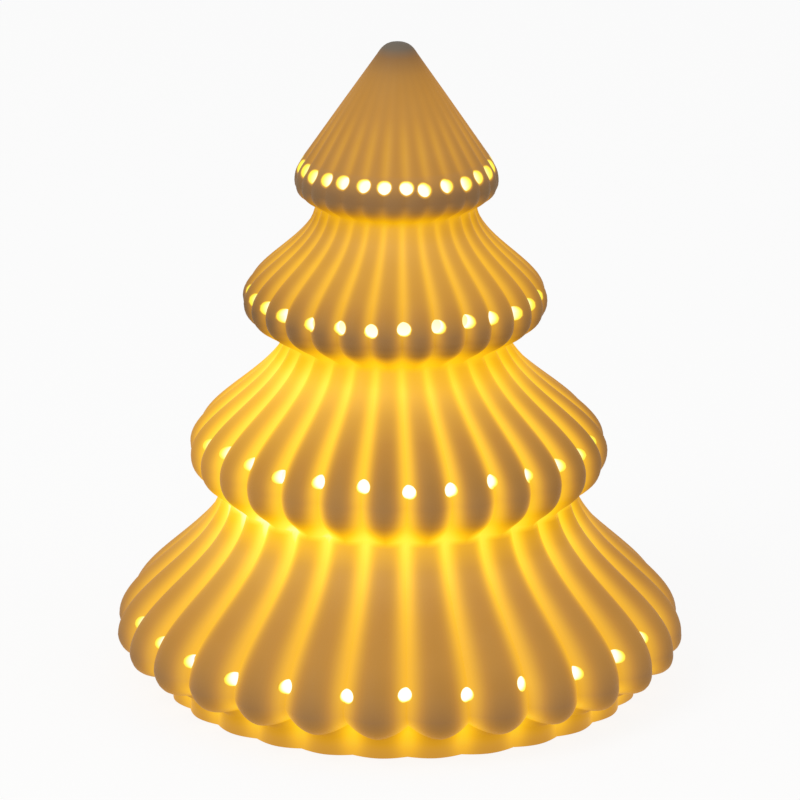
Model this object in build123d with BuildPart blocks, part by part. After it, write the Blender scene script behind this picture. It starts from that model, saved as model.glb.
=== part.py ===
from build123d import *
import os
from math import cos, hypot, pi, radians, sin, sqrt

os.makedirs("parts", exist_ok=True)

# Porcelain tree: heights of its stretches, from the table up
bottom_belly_height = 16.4
bottom_slope_height = 44.4
third_tuck_height = 12.8
third_slope_height = 35.5
second_tuck_height = 11.5
second_slope_height = 29.0
top_tuck_height = 6.6
top_shoulder_height = 9.2
cone_height = 30.3
tip_height = 4.3

# Porcelain tree: radii over the rib crests, from the foot up
foot_radius = 73.0
foot_top_radius = 73.6
bottom_belly_radius = 87.2
third_neck_radius = 55.2
third_belly_radius = 63.9
second_neck_radius = 33.6
second_belly_radius = 46.2
top_neck_radius = 23.6
top_belly_radius = 30.4
cone_end_radius = 27.1
tip_radius = 6.6
tip_flat_radius = 1.4

# Porcelain tree: ribs, the same number on every tier, and how deep their grooves are
rib_count = 28
groove_turn = 2.4
foot_rib_depth = 1.2
foot_top_rib_depth = 1.5
bottom_rib_depth = 5.2
third_neck_rib_depth = 2.8
third_rib_depth = 4.0
second_neck_rib_depth = 1.8
second_rib_depth = 2.6
top_neck_rib_depth = 0.8
top_rib_depth = 0.9
tip_rib_depth = 0.06

# Porcelain tree: the bottom tier's underside, the foot and the hollow
foot_height = 5.8
foot_groove_rise = 2.4
underside_height = 8.8
underside_groove_rise = 3.0
underside_radius = 78.5
wall_thickness = 3.0
foot_wall_thickness = 4.0
foot_ring_width = 9.0
tip_thickness = 12.0
floor_recess = 5.5
floor_thickness = 3.5
floor_joint_gap = 0.1

# Porcelain tree: light holes, one in every groove of every tier
light_hole_radius = 2.05
bottom_hole_rise = 6.4
third_hole_rise = 5.2
second_hole_rise = 2.6
top_hole_rise = 5.7
side_hole_tilt = 8
top_hole_tilt = 30

# Porcelain tree: how its curves bend, as shares of the stretch that they cross
neck_drop_share = 0.40
neck_reach_share = 0.10
third_neck_reach_share = 0.17
belly_rise_share = 0.34
belly_fall_share = 0.60
tuck_reach_share = 0.28
tuck_drop_share = 0.25
shoulder_share = 0.45
lip_fall_share = 0.75
lip_reach_share = 0.50
lip_drop_share = 0.06
tip_reach_share = 0.45
tip_fall_share = 0.50
hollow_rise_share = 0.80
hollow_fall_share = 0.45
slope_shares = (0, 0.2, 0.4, 0.6, 0.8)
tuck_shares = (0, 0.33, 0.66, 1)
tip_shares = (0, 0.35, 0.7)
cone_shares = (0, 0.25, 0.5, 0.75)
shoulder_shares = (0, 0.5)
lip_shares = (0, 0.3, 0.55, 0.8, 1)
foot_shares = (0, 0.5, 1)
hole_cut_share = 4

# Batteries, three AAA cells side by side, turned end for end
cell_radius = 5.25
cell_length = 44.5
cell_nub_radius = 1.9
cell_nub_length = 0.8
cell_edge_radius = 0.5
cell_pitch = 11.4
cell_count = 3
cell_side_gap = 0.5
cell_roof_gap = 0.3
spring_length = 5.0

# Battery contacts
contact_thickness = 0.5
contact_half_width = 4.0
contact_bottom_gap = 0.6
contact_height = 9.4
tail_width = 2.0
tail_rise = 1.7
tail_gap = 0.3
spring_wire_radius = 0.3
spring_base_radius = 3.0
spring_tip_radius = 2.0
spring_turns = 3.5
spring_seat_gap = 0.08

# Base plate: the flange under the porcelain floor and the battery box on it
flange_thickness = 2.0
flange_reach = 6.0
box_wall_thickness = 1.4
box_roof_thickness = 1.5
board_post_radius = 2.2
board_post_height = 4.1
board_post_spacing_x = 26.0
board_post_spacing_y = 30.0
scoop_radius = 5.0
scoop_depth = 1.1
edge_round = 0.6

# Battery door and its hinge
door_thickness = 1.6
door_gap = 0.3
door_ledge = 1.0
door_ledge_gap = 0.2
hinge_setback = 2.6
hinge_height = 1.4
barrel_radius = 1.3
barrel_half_length = 9.0
hinge_pin_radius = 0.7
hinge_pin_length = 2.4
hinge_clearance = 0.05
hinge_room = 0.9
door_swing_gap = 0.9
ear_width = 3.2
ear_height = 3.3
ear_back_thickness = 0.5

# Module housing, its seal and its screws
housing_wall_thickness = 1.6
housing_roof_thickness = 1.6
housing_room = 2.0
housing_top_round = 2.4
part_room = 6.9
boss_radius = 2.8
boss_spacing_x = 52.0
boss_spacing_y = 26.0
housing_screw_radius = 1.2
housing_screw_length = 9.0
housing_head_radius = 2.4
housing_head_height = 1.2
housing_head_gap = 0.2
screw_gap = 0.05
seal_thickness = 0.8
seal_sleeve_thickness = 1.2
seal_sleeve_rise = 1.5
seal_grip_gap = 0.05
seal_clearance = 0.08

# Circuit board and what is on it
board_radius = 24.0
board_thickness = 1.6
board_screw_radius = 0.9
board_screw_length = 3.4
board_head_radius = 1.8
board_head_height = 1.2
led_count = 4
led_ring_radius = 7.0
led_radius = 2.5
led_rim_radius = 2.9
led_rim_height = 1.0
led_body_height = 6.1
chip_length = 5.0
chip_width = 4.0
chip_height = 1.5
chip_x = -15.0
chip_leg_count = 4
chip_leg_pitch = 1.27
chip_leg_width = 0.45
chip_leg_reach = 1.0
chip_leg_height = 0.6
resistor_length = 3.2
resistor_width = 1.6
resistor_height = 0.6
resistor_spacing = 30.0
capacitor_radius = 2.5
capacitor_height = 5.6
capacitor_round = 0.4
capacitor_x = 15.0
capacitor_y = 8.0

# Light dome over the lamps
dome_radius = 17.0
dome_wall_thickness = 1.5
dome_spigot_radius = 12.0
dome_spigot_length = 1.2
dome_spigot_gap = 0.1

# Slide switch and its knob, which moves along Y
switch_x = 26.0
switch_width = 6.0
switch_length = 11.0
switch_height = 5.5
switch_slot_depth = 2.0
switch_travel = 2.0
stem_width = 2.0
stem_length = 2.4
stem_gap = 0.3
stem_reach = 1.5
knob_width = 3.4
knob_length = 4.6
knob_thickness = 0.9
knob_round = 0.3

# Wires inside the module
wire_radius = 0.6
wire_bend_radius = 1.9
wire_lift = 3.4
wire_inset = 6.0
switch_wire_spacing = 6.0

cut_overrun = 1.0


# Places worked out from the sizes above
rib_pitch = 360 / rib_count
front_turn = -90
first_groove = front_turn + groove_turn

third_neck_height = bottom_belly_height + bottom_slope_height
third_belly_height = third_neck_height + third_tuck_height
second_neck_height = third_belly_height + third_slope_height
second_belly_height = second_neck_height + second_tuck_height
top_neck_height = second_belly_height + second_slope_height
top_belly_height = top_neck_height + top_tuck_height
cone_end_height = top_belly_height + top_shoulder_height
tip_bottom = cone_end_height + cone_height
tree_height = tip_bottom + tip_height
hollow_top = tree_height - tip_thickness

foot_spot = Vector(foot_radius, 0)
foot_top_spot = Vector(foot_top_radius, foot_height)
bottom_belly = Vector(bottom_belly_radius, bottom_belly_height)
underside_spot = Vector(underside_radius, underside_height)
third_neck = Vector(third_neck_radius, third_neck_height)
third_belly = Vector(third_belly_radius, third_belly_height)
second_neck = Vector(second_neck_radius, second_neck_height)
second_belly = Vector(second_belly_radius, second_belly_height)
top_neck = Vector(top_neck_radius, top_neck_height)
top_belly = Vector(top_belly_radius, top_belly_height)
cone_end = Vector(cone_end_radius, cone_end_height)
tip_spot = Vector(tip_radius, tip_bottom)
tip_flat = Vector(tip_flat_radius, tree_height)

flange_top = floor_recess - seal_thickness
flange_bottom = flange_top - flange_thickness
door_top = flange_bottom + door_thickness
box_ledge = door_top + door_ledge_gap
cell_axis_height = door_top + door_gap + cell_radius
box_roof = cell_axis_height + cell_radius + cell_roof_gap
box_top = box_roof + box_roof_thickness
box_width = (cell_count - 1) * cell_pitch + 2 * (cell_radius + cell_side_gap)
box_length = cell_length + spring_length + 2 * contact_thickness
box_outer_width = box_width + 2 * box_wall_thickness
box_outer_length = box_length + 2 * box_wall_thickness
contact_face = box_length / 2 - contact_thickness
contact_bottom = door_top + contact_bottom_gap
housing_inner_radius = hypot(box_outer_width, box_outer_length) / 2 + housing_room
housing_radius = housing_inner_radius + housing_wall_thickness
seal_inner_radius = housing_radius + seal_grip_gap
seal_radius = seal_inner_radius + seal_sleeve_thickness
base_hole_radius = seal_radius + seal_clearance
flange_radius = base_hole_radius + flange_reach
recess_radius = foot_radius - foot_rib_depth - foot_ring_width
floor_top = floor_recess + floor_thickness
board_bottom = box_top + board_post_height
board_top = board_bottom + board_thickness
housing_roof = board_top + part_room
housing_top = housing_roof + housing_roof_thickness
door_width = box_width + 2 * door_ledge
door_length = box_length + 2 * door_ledge
hinge_y = -door_length / 2 - hinge_setback
hinge_z = flange_bottom + hinge_height
pocket_back = hinge_y - hinge_height - hinge_room
ear_inner = barrel_half_length + door_gap
ear_outer = ear_inner + ear_width
ear_back = pocket_back - ear_back_thickness


def inset(spot, depth):
    """The groove's spot beside a crest's: as high, and nearer to the axis by the depth."""
    return Vector(spot.X - depth, spot.Y)


def ring_point(spot, turn):
    """The point at a spot's radius and height, turned about the tree's axis."""
    return Vector(spot.X * cos(radians(turn)), spot.X * sin(radians(turn)), spot.Y)


def rib_ring(crest, groove):
    """A closed ring of arcs, one for each rib, through the crests and the grooves."""
    with BuildLine() as ring:
        for rib in range(rib_count):
            turn = first_groove + rib * rib_pitch
            ThreePointArc(
                ring_point(groove, turn),
                ring_point(crest, turn + rib_pitch / 2),
                ring_point(groove, turn + rib_pitch),
            )
    return ring.wire()


def rib_rings(crest_line, groove_line, shares):
    """Rings at the given shares of a crest line and of the groove line beside it."""
    return [rib_ring(crest_line @ share, groove_line @ share) for share in shares]


def slope_points(neck, belly, reach_share=neck_reach_share):
    """Control points from a neck down the tier's slope to its belly."""
    drop = neck.Y - belly.Y
    reach = belly.X - neck.X
    return (
        neck,
        neck + Vector(reach * reach_share, -drop * neck_drop_share),
        belly + Vector(0, drop * belly_rise_share),
        belly,
    )


def tuck_points(belly, neck):
    """Control points from a belly in under the tier to the neck below it."""
    drop = belly.Y - neck.Y
    reach = belly.X - neck.X
    return (
        belly,
        belly - Vector(0, drop * belly_fall_share),
        neck + Vector(reach * tuck_reach_share, drop * tuck_drop_share),
        neck,
    )


def lip_points(belly, underside):
    """Control points round the bottom tier's lip to its flat underside."""
    drop = belly.Y - underside.Y
    reach = belly.X - underside.X
    return (
        belly,
        belly - Vector(0, drop * lip_fall_share),
        underside + Vector(reach * lip_reach_share, drop * lip_drop_share),
        underside,
    )


def shoulder_points(cone_foot, belly):
    """Control points from the end of the top cone to the top belly."""
    fall = cone_foot - belly
    along_cone = Vector(cone_foot.X - tip_radius, cone_foot.Y - tip_bottom).normalized()
    return (
        cone_foot,
        cone_foot + along_cone * (fall.Y * shoulder_share),
        belly + Vector(0, fall.Y * shoulder_share),
        belly,
    )


def tip_points(flat_edge, cone_top):
    """Control points from the small flat on the tip round to the top of the cone."""
    along_cone = Vector(cone_end_radius - tip_radius, -cone_height).normalized()
    return (
        flat_edge,
        flat_edge + Vector((cone_top.X - flat_edge.X) * tip_reach_share, 0),
        cone_top - along_cone * (tip_height * tip_fall_share),
        cone_top,
    )


def curve(points):
    """A free curve through control points, kept out of the part being built."""
    return Bezier(*points, mode=Mode.PRIVATE)


def tier_solid(above, belly, below, above_depth, belly_depth, below_depth, reach_share=neck_reach_share):
    """One ribbed tier, from the neck above it round its belly to the neck below it."""
    belly_groove = inset(belly, belly_depth)
    slope = curve(slope_points(above, belly, reach_share))
    slope_groove = curve(slope_points(inset(above, above_depth), belly_groove, reach_share))
    tuck = curve(tuck_points(belly, below))
    tuck_groove = curve(tuck_points(belly_groove, inset(below, below_depth)))
    rings = rib_rings(slope, slope_groove, slope_shares)
    rings += rib_rings(tuck, tuck_groove, tuck_shares)
    return Solid.make_loft(rings)


def top_tier_solid():
    """The top cone, whose ribs fade out towards the tip, with its belly and its tuck."""
    cone_end_groove = inset(cone_end, top_rib_depth)
    belly_groove = inset(top_belly, top_rib_depth)
    cone = Line(tip_spot, cone_end, mode=Mode.PRIVATE)
    tip_groove = inset(tip_spot, tip_rib_depth)
    cone_groove = Line(tip_groove, cone_end_groove, mode=Mode.PRIVATE)
    tip = curve(tip_points(tip_flat, tip_spot))
    tip_groove_line = curve(tip_points(inset(tip_flat, tip_rib_depth), tip_groove))
    shoulder = curve(shoulder_points(cone_end, top_belly))
    shoulder_groove = curve(shoulder_points(cone_end_groove, belly_groove))
    tuck = curve(tuck_points(top_belly, top_neck))
    tuck_groove = curve(tuck_points(belly_groove, inset(top_neck, top_neck_rib_depth)))
    rings = rib_rings(tip, tip_groove_line, tip_shares)
    rings += rib_rings(cone, cone_groove, cone_shares)
    rings += rib_rings(shoulder, shoulder_groove, shoulder_shares)
    rings += rib_rings(tuck, tuck_groove, tuck_shares)
    return Solid.make_loft(rings)


def bottom_tier_solid():
    """The bottom tier with its lip, its underside and the foot that it stands on."""
    belly_groove = inset(bottom_belly, bottom_rib_depth)
    underside_groove = inset(underside_spot, bottom_rib_depth) + Vector(0, underside_groove_rise)
    foot_top_groove = inset(foot_top_spot, foot_top_rib_depth) + Vector(0, foot_groove_rise)
    foot_groove = inset(foot_spot, foot_rib_depth)
    slope = curve(slope_points(third_neck, bottom_belly))
    slope_groove = curve(slope_points(inset(third_neck, third_neck_rib_depth), belly_groove))
    lip = curve(lip_points(bottom_belly, underside_spot))
    lip_groove = curve(lip_points(belly_groove, underside_groove))
    foot = Line(foot_top_spot, foot_spot, mode=Mode.PRIVATE)
    foot_groove_line = Line(foot_top_groove, foot_groove, mode=Mode.PRIVATE)
    rings = rib_rings(slope, slope_groove, slope_shares)
    rings += rib_rings(lip, lip_groove, lip_shares)
    rings += rib_rings(foot, foot_groove_line, foot_shares)
    return Solid.make_loft(rings)


# The casting's core: the shape of the tree's smooth hollow, open below
hollow_foot = Vector(foot_radius - foot_rib_depth - foot_wall_thickness, floor_top)
hollow_bottom_belly = inset(bottom_belly, bottom_rib_depth + wall_thickness) + Vector(0, wall_thickness)
hollow_third_neck = inset(third_neck, third_neck_rib_depth + wall_thickness)
hollow_third_belly = inset(third_belly, third_rib_depth + wall_thickness)
hollow_second_neck = inset(second_neck, second_neck_rib_depth + wall_thickness)
hollow_second_belly = inset(second_belly, second_rib_depth + wall_thickness)
hollow_top_neck = inset(top_neck, top_neck_rib_depth + wall_thickness)
hollow_top_belly = inset(top_belly, top_rib_depth + wall_thickness)
hollow_foot_rise = hollow_bottom_belly.Y - hollow_foot.Y
with BuildPart() as casting_core:
    with BuildSketch(Plane.XZ):
        with BuildLine():
            Line((0, floor_top), hollow_foot)
            Bezier(
                hollow_foot,
                hollow_foot + Vector(0, hollow_foot_rise * hollow_rise_share),
                hollow_bottom_belly - Vector(0, hollow_foot_rise * hollow_fall_share),
                hollow_bottom_belly,
            )
            Bezier(*slope_points(hollow_third_neck, hollow_bottom_belly))
            Bezier(*tuck_points(hollow_third_belly, hollow_third_neck))
            Bezier(*slope_points(hollow_second_neck, hollow_third_belly, third_neck_reach_share))
            Bezier(*tuck_points(hollow_second_belly, hollow_second_neck))
            Bezier(*slope_points(hollow_top_neck, hollow_second_belly))
            Bezier(*tuck_points(hollow_top_belly, hollow_top_neck))
            Bezier(
                hollow_top_belly,
                hollow_top_belly + Vector(0, top_shoulder_height),
                (tip_radius, hollow_top),
                (0, hollow_top),
            )
            Line((0, hollow_top), (0, floor_top))
        make_face()
    revolve(axis=Axis.Z, clean=False)
    with BuildSketch(Plane.XY):
        Circle(recess_radius)
    extrude(amount=floor_top + cut_overrun, clean=False)


def make_tier(name, tier, belly, rib_depth, hole_rise, hole_tilt):
    """A tier of the tree: its ribbed solid, hollowed by the core, with a light hole in every groove."""
    hole_ring_radius = belly.X - rib_depth - wall_thickness / 2
    with BuildPart() as shell:
        add(tier, clean=False)
        add(casting_core.part, mode=Mode.SUBTRACT, clean=False)
        with Locations((0, 0, belly.Y + hole_rise)):
            with PolarLocations(hole_ring_radius, rib_count, start_angle=first_groove):
                Cylinder(
                    light_hole_radius,
                    wall_thickness * hole_cut_share,
                    rotation=(0, 90 - hole_tilt, 0),
                    mode=Mode.SUBTRACT,
                )
    shell.part.label = name
    export_step(shell.part, f"parts/{name}.step")


# Porcelain tree: four tiers that meet at the necks
third_tier_solid = tier_solid(
    second_neck, third_belly, third_neck,
    second_neck_rib_depth, third_rib_depth, third_neck_rib_depth,
    third_neck_reach_share,
)
second_tier_solid = tier_solid(
    top_neck, second_belly, second_neck,
    top_neck_rib_depth, second_rib_depth, second_neck_rib_depth,
)
make_tier(
    "bottom_tier", bottom_tier_solid(), bottom_belly, bottom_rib_depth, bottom_hole_rise, side_hole_tilt
)
make_tier("third_tier", third_tier_solid, third_belly, third_rib_depth, third_hole_rise, side_hole_tilt)
make_tier("second_tier", second_tier_solid, second_belly, second_rib_depth, second_hole_rise, side_hole_tilt)
make_tier("top_tier", top_tier_solid(), top_belly, top_rib_depth, top_hole_rise, top_hole_tilt)

# Porcelain floor: a slab luted inside the foot ring, with the hole for the light module
with BuildPart() as porcelain_floor:
    with BuildSketch(Plane.XY.offset(floor_recess)):
        Circle(recess_radius - floor_joint_gap)
        Circle(base_hole_radius, mode=Mode.SUBTRACT)
    extrude(amount=floor_thickness)
porcelain_floor.part.label = "porcelain_floor"
export_step(porcelain_floor.part, "parts/porcelain_floor.step")

# Base plate: flange, battery box with its slots, board posts and hinge ears
tail_spots = (
    (-cell_pitch, contact_face + contact_thickness / 2),
    (cell_pitch, -contact_face - contact_thickness / 2),
)
with BuildPart() as base_plate:
    with BuildSketch(Plane.XY.offset(flange_bottom)):
        Circle(flange_radius)
    extrude(amount=flange_thickness)
    fillet(base_plate.edges().filter_by(GeomType.CIRCLE).sort_by(Axis.Z)[0], edge_round)
    with BuildSketch(Plane.XY.offset(flange_bottom)):
        Rectangle(box_outer_width, box_outer_length)
    extrude(amount=box_top - flange_bottom)
    with BuildSketch(Plane.XY.offset(flange_bottom)):
        with Locations((0, (ear_back - box_length / 2) / 2)):
            Rectangle(2 * ear_outer, -ear_back - box_length / 2)
    extrude(amount=ear_height)
    with BuildSketch(Plane.XY.offset(box_top)):
        with GridLocations(board_post_spacing_x, board_post_spacing_y, 2, 2):
            Circle(board_post_radius)
    extrude(amount=board_post_height)
    with BuildSketch(Plane.XY.offset(flange_bottom)):
        Rectangle(box_width, box_length)
    extrude(amount=box_roof - flange_bottom, mode=Mode.SUBTRACT)
    with BuildSketch(Plane.XY.offset(flange_bottom)):
        with Locations((0, (door_gap - door_swing_gap) / 2)):
            Rectangle(door_width + 2 * door_gap, door_length + door_gap + door_swing_gap)
    extrude(amount=box_ledge - flange_bottom, mode=Mode.SUBTRACT)
    with BuildSketch(Plane.XY.offset(flange_bottom)):
        with Locations((0, (pocket_back - door_length / 2) / 2)):
            Rectangle(2 * ear_inner, -pocket_back - door_length / 2)
    extrude(amount=ear_height, mode=Mode.SUBTRACT)
    with BuildSketch(Plane.YZ.offset(-ear_inner - hinge_pin_length)):
        with Locations((hinge_y, hinge_z)):
            Circle(hinge_pin_radius + hinge_clearance)
    extrude(amount=2 * (ear_inner + hinge_pin_length), mode=Mode.SUBTRACT)
    with BuildSketch(Plane.XY.offset(flange_bottom)):
        with Locations((0, door_length / 2 + door_gap)):
            Circle(scoop_radius)
    extrude(amount=scoop_depth, mode=Mode.SUBTRACT)
    with BuildSketch(Plane.XY.offset(box_roof)):
        with Locations(*tail_spots):
            Rectangle(tail_width + 2 * tail_gap, contact_thickness + 2 * tail_gap)
    extrude(amount=box_roof_thickness, mode=Mode.SUBTRACT)
    with BuildSketch(Plane.XY.offset(board_bottom)):
        with GridLocations(board_post_spacing_x, board_post_spacing_y, 2, 2):
            Circle(board_screw_radius + screw_gap)
    extrude(amount=-board_screw_length, mode=Mode.SUBTRACT)
    with BuildSketch(Plane.XY.offset(flange_bottom)):
        with GridLocations(boss_spacing_x, boss_spacing_y, 2, 2):
            Circle(housing_screw_radius + screw_gap)
    extrude(amount=flange_thickness, mode=Mode.SUBTRACT)
    with BuildSketch(Plane.XY.offset(flange_bottom)):
        with GridLocations(boss_spacing_x, boss_spacing_y, 2, 2):
            Circle(housing_head_radius + housing_head_gap)
    extrude(amount=housing_head_height, mode=Mode.SUBTRACT)
    with BuildSketch(Plane.XY.offset(flange_bottom)):
        with Locations((switch_x, 0)):
            Rectangle(stem_width + 2 * stem_gap, stem_length + 2 * (switch_travel + stem_gap))
    extrude(amount=flange_thickness, mode=Mode.SUBTRACT)
base_plate.part.label = "base_plate"
export_step(base_plate.part, "parts/base_plate.step")

# Battery door, with its barrel and two round pins on the hinge's axis
with BuildPart() as battery_door:
    with BuildSketch(Plane.XY.offset(flange_bottom)):
        Rectangle(door_width, door_length)
    extrude(amount=door_thickness)
    fillet(battery_door.edges().filter_by(Axis.Z), edge_round)
    with BuildSketch(Plane.XY.offset(flange_bottom)):
        with Locations((0, (hinge_y - door_length / 2) / 2)):
            Rectangle(2 * barrel_half_length, -hinge_y - door_length / 2 + barrel_radius)
    extrude(amount=door_thickness)
    with BuildSketch(Plane.YZ.offset(-barrel_half_length)):
        with Locations((hinge_y, hinge_z)):
            Circle(barrel_radius)
    extrude(amount=2 * barrel_half_length)
    with BuildSketch(Plane.YZ.offset(-barrel_half_length - hinge_pin_length)):
        with Locations((hinge_y, hinge_z)):
            Circle(hinge_pin_radius)
    extrude(amount=2 * (barrel_half_length + hinge_pin_length))
battery_door.part.label = "battery_door"
export_step(battery_door.part, "parts/battery_door.step")

# Module housing: a cup over the battery box, with screw bosses and the dome's opening
with BuildPart() as module_housing:
    with BuildSketch(Plane.XY.offset(flange_top)):
        Circle(housing_radius)
    extrude(amount=housing_top - flange_top)
    fillet(module_housing.edges().filter_by(GeomType.CIRCLE).sort_by(Axis.Z)[-1], housing_top_round)
    with BuildSketch(Plane.XY.offset(flange_top)):
        Circle(housing_inner_radius)
    extrude(amount=housing_roof - flange_top, mode=Mode.SUBTRACT)
    with BuildSketch(Plane.XY.offset(flange_top)):
        with GridLocations(boss_spacing_x, boss_spacing_y, 2, 2):
            Circle(boss_radius)
    extrude(amount=housing_roof - flange_top)
    with BuildSketch(Plane.XY.offset(flange_top)):
        with GridLocations(boss_spacing_x, boss_spacing_y, 2, 2):
            Circle(housing_screw_radius + screw_gap)
    extrude(amount=housing_screw_length, mode=Mode.SUBTRACT)
    with BuildSketch(Plane.XY.offset(housing_roof)):
        Circle(dome_spigot_radius + dome_spigot_gap)
    extrude(amount=housing_roof_thickness, mode=Mode.SUBTRACT)
module_housing.part.label = "module_housing"
export_step(module_housing.part, "parts/module_housing.step")

# Seal ring: a soft washer under the floor, with a sleeve that grips the floor's hole
with BuildPart() as seal_ring:
    with BuildSketch(Plane.XY.offset(flange_top)):
        Circle(flange_radius)
        Circle(seal_inner_radius, mode=Mode.SUBTRACT)
    extrude(amount=seal_thickness)
    with BuildSketch(Plane.XY.offset(flange_top)):
        Circle(seal_radius)
        Circle(seal_inner_radius, mode=Mode.SUBTRACT)
    extrude(amount=seal_thickness + floor_thickness + seal_sleeve_rise)
seal_ring.part.label = "seal_ring"
export_step(seal_ring.part, "parts/seal_ring.step")

# Light dome: an opal half ball over the lamps, with a spigot in the housing's opening
dome_bore = dome_spigot_radius - dome_wall_thickness
with BuildPart() as light_dome:
    with BuildSketch(Plane.XZ):
        with BuildLine():
            Line((dome_radius - dome_wall_thickness, housing_top), (dome_radius, housing_top))
            CenterArc((0, housing_top), dome_radius, 0, 90)
            Line((0, housing_top + dome_radius), (0, housing_top + dome_radius - dome_wall_thickness))
            CenterArc((0, housing_top), dome_radius - dome_wall_thickness, 0, 90)
        make_face()
    revolve(axis=Axis.Z)
    with BuildSketch(Plane.XY.offset(housing_top)):
        Circle(dome_radius - dome_wall_thickness / 2)
        Circle(dome_bore, mode=Mode.SUBTRACT)
    extrude(amount=dome_wall_thickness)
    with BuildSketch(Plane.XY.offset(housing_top - dome_spigot_length)):
        Circle(dome_spigot_radius)
        Circle(dome_bore, mode=Mode.SUBTRACT)
    extrude(amount=dome_spigot_length)
light_dome.part.label = "light_dome"
export_step(light_dome.part, "parts/light_dome.step")


def cell_side(index):
    """Which way a cell's positive end points along Y: the cells lie end for end."""
    return 1 if index % 2 == 0 else -1


def cell_x(index):
    """A cell's place across the box."""
    return (index - (cell_count - 1) / 2) * cell_pitch


# Batteries
for index in range(cell_count):
    facing = cell_side(index)
    plus_end = Vector(cell_x(index), facing * contact_face, cell_axis_height)
    with BuildPart() as battery:
        with BuildSketch(Plane(plus_end - Vector(0, facing * cell_nub_length, 0), z_dir=(0, -facing, 0))):
            Circle(cell_radius)
        extrude(amount=cell_length - cell_nub_length)
        fillet(battery.edges().filter_by(GeomType.CIRCLE), cell_edge_radius)
        with BuildSketch(Plane(plus_end, z_dir=(0, -facing, 0))):
            Circle(cell_nub_radius)
        extrude(amount=cell_nub_length)
    battery.part.label = f"battery_{index + 1}"
    export_step(battery.part, f"parts/battery_{index + 1}.step")


def coil_spot(index, turn):
    """A point of a contact spring's wire and the way it runs there, after so many turns."""
    facing = cell_side(index)
    share = turn / spring_turns
    climb = spring_length - 2 * (spring_wire_radius + spring_seat_gap)
    radius = spring_base_radius + (spring_tip_radius - spring_base_radius) * share
    shrink = (spring_tip_radius - spring_base_radius) / spring_turns
    angle = 2 * pi * turn
    point = Vector(
        cell_x(index) + radius * cos(angle),
        facing * (spring_wire_radius + spring_seat_gap + climb * share - contact_face),
        cell_axis_height + radius * sin(angle),
    )
    heading = Vector(
        shrink * cos(angle) - 2 * pi * radius * sin(angle),
        facing * climb / spring_turns,
        shrink * sin(angle) + 2 * pi * radius * cos(angle),
    )
    return point, heading.normalized()


def joined_arcs(start, start_way, end, end_way):
    """Two arcs that leave the start and reach the end along their ways, and meet in line."""
    gap = end - start
    ways = start_way + end_way
    spread = 2 * (1 - start_way.dot(end_way))
    reach = (sqrt(gap.dot(ways) ** 2 + spread * gap.dot(gap)) - gap.dot(ways)) / spread
    middle_way = (end - end_way * reach) - (start + start_way * reach)
    middle = (start + end + (start_way - end_way) * reach) / 2
    TangentArc(start, middle, tangent=start_way)
    TangentArc(middle, end, tangent=middle_way)


# Contact springs, one wound wire at each cell's negative end
quarter_turns = round(spring_turns * 4)
for index in range(cell_count):
    spots = [coil_spot(index, quarter * spring_turns / quarter_turns) for quarter in range(quarter_turns + 1)]
    with BuildPart() as contact_spring:
        with BuildLine() as wire_line:
            for (start, start_way), (end, end_way) in zip(spots, spots[1:]):
                joined_arcs(start, start_way, end, end_way)
        with BuildSketch(Plane(spots[0][0], z_dir=spots[0][1])):
            Circle(spring_wire_radius)
        sweep(path=wire_line.wire())
    contact_spring.part.label = f"contact_spring_{index + 1}"
    export_step(contact_spring.part, f"parts/contact_spring_{index + 1}.step")
steps_per_turn = 24
fine_count = round(spring_turns * steps_per_turn)
fine_spots = [coil_spot(0, step / steps_per_turn)[0] for step in range(fine_count + 1)]
least_gap = min(
    (fine_spots[first] - fine_spots[second]).length - 2 * spring_wire_radius
    for first in range(fine_count + 1)
    for second in range(first + steps_per_turn // 2, fine_count + 1)
)
print(f"contact spring: least gap between its turns {least_gap:.2f} mm")


def end_plate(left, right, side):
    """A contact plate on the box's end wall, from one cell's place to another's."""
    with BuildSketch(Plane.XY.offset(contact_bottom)) as outline:
        with Locations(((left + right) / 2, side * (contact_face + contact_thickness / 2))):
            Rectangle(right - left + 2 * contact_half_width, contact_thickness)
    extrude(outline.sketch, amount=contact_height)


# Bridge plates, each joining a cell's positive end to its neighbour's spring
with BuildPart() as bridge_plate_1:
    end_plate(cell_x(0), cell_x(1), -1)
bridge_plate_1.part.label = "bridge_plate_1"
export_step(bridge_plate_1.part, "parts/bridge_plate_1.step")
with BuildPart() as bridge_plate_2:
    end_plate(cell_x(1), cell_x(2), 1)
bridge_plate_2.part.label = "bridge_plate_2"
export_step(bridge_plate_2.part, "parts/bridge_plate_2.step")

# Terminal plates, whose tails stand up through the box's roof
tail_top = box_top + tail_rise
with BuildPart() as terminal_positive:
    end_plate(cell_x(0), cell_x(0), 1)
    with BuildSketch(Plane.XY.offset(contact_bottom)):
        with Locations(tail_spots[0]):
            Rectangle(tail_width, contact_thickness)
    extrude(amount=tail_top - contact_bottom)
terminal_positive.part.label = "terminal_positive"
export_step(terminal_positive.part, "parts/terminal_positive.step")
with BuildPart() as terminal_negative:
    end_plate(cell_x(2), cell_x(2), -1)
    with BuildSketch(Plane.XY.offset(contact_bottom)):
        with Locations(tail_spots[1]):
            Rectangle(tail_width, contact_thickness)
    extrude(amount=tail_top - contact_bottom)
terminal_negative.part.label = "terminal_negative"
export_step(terminal_negative.part, "parts/terminal_negative.step")

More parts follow.
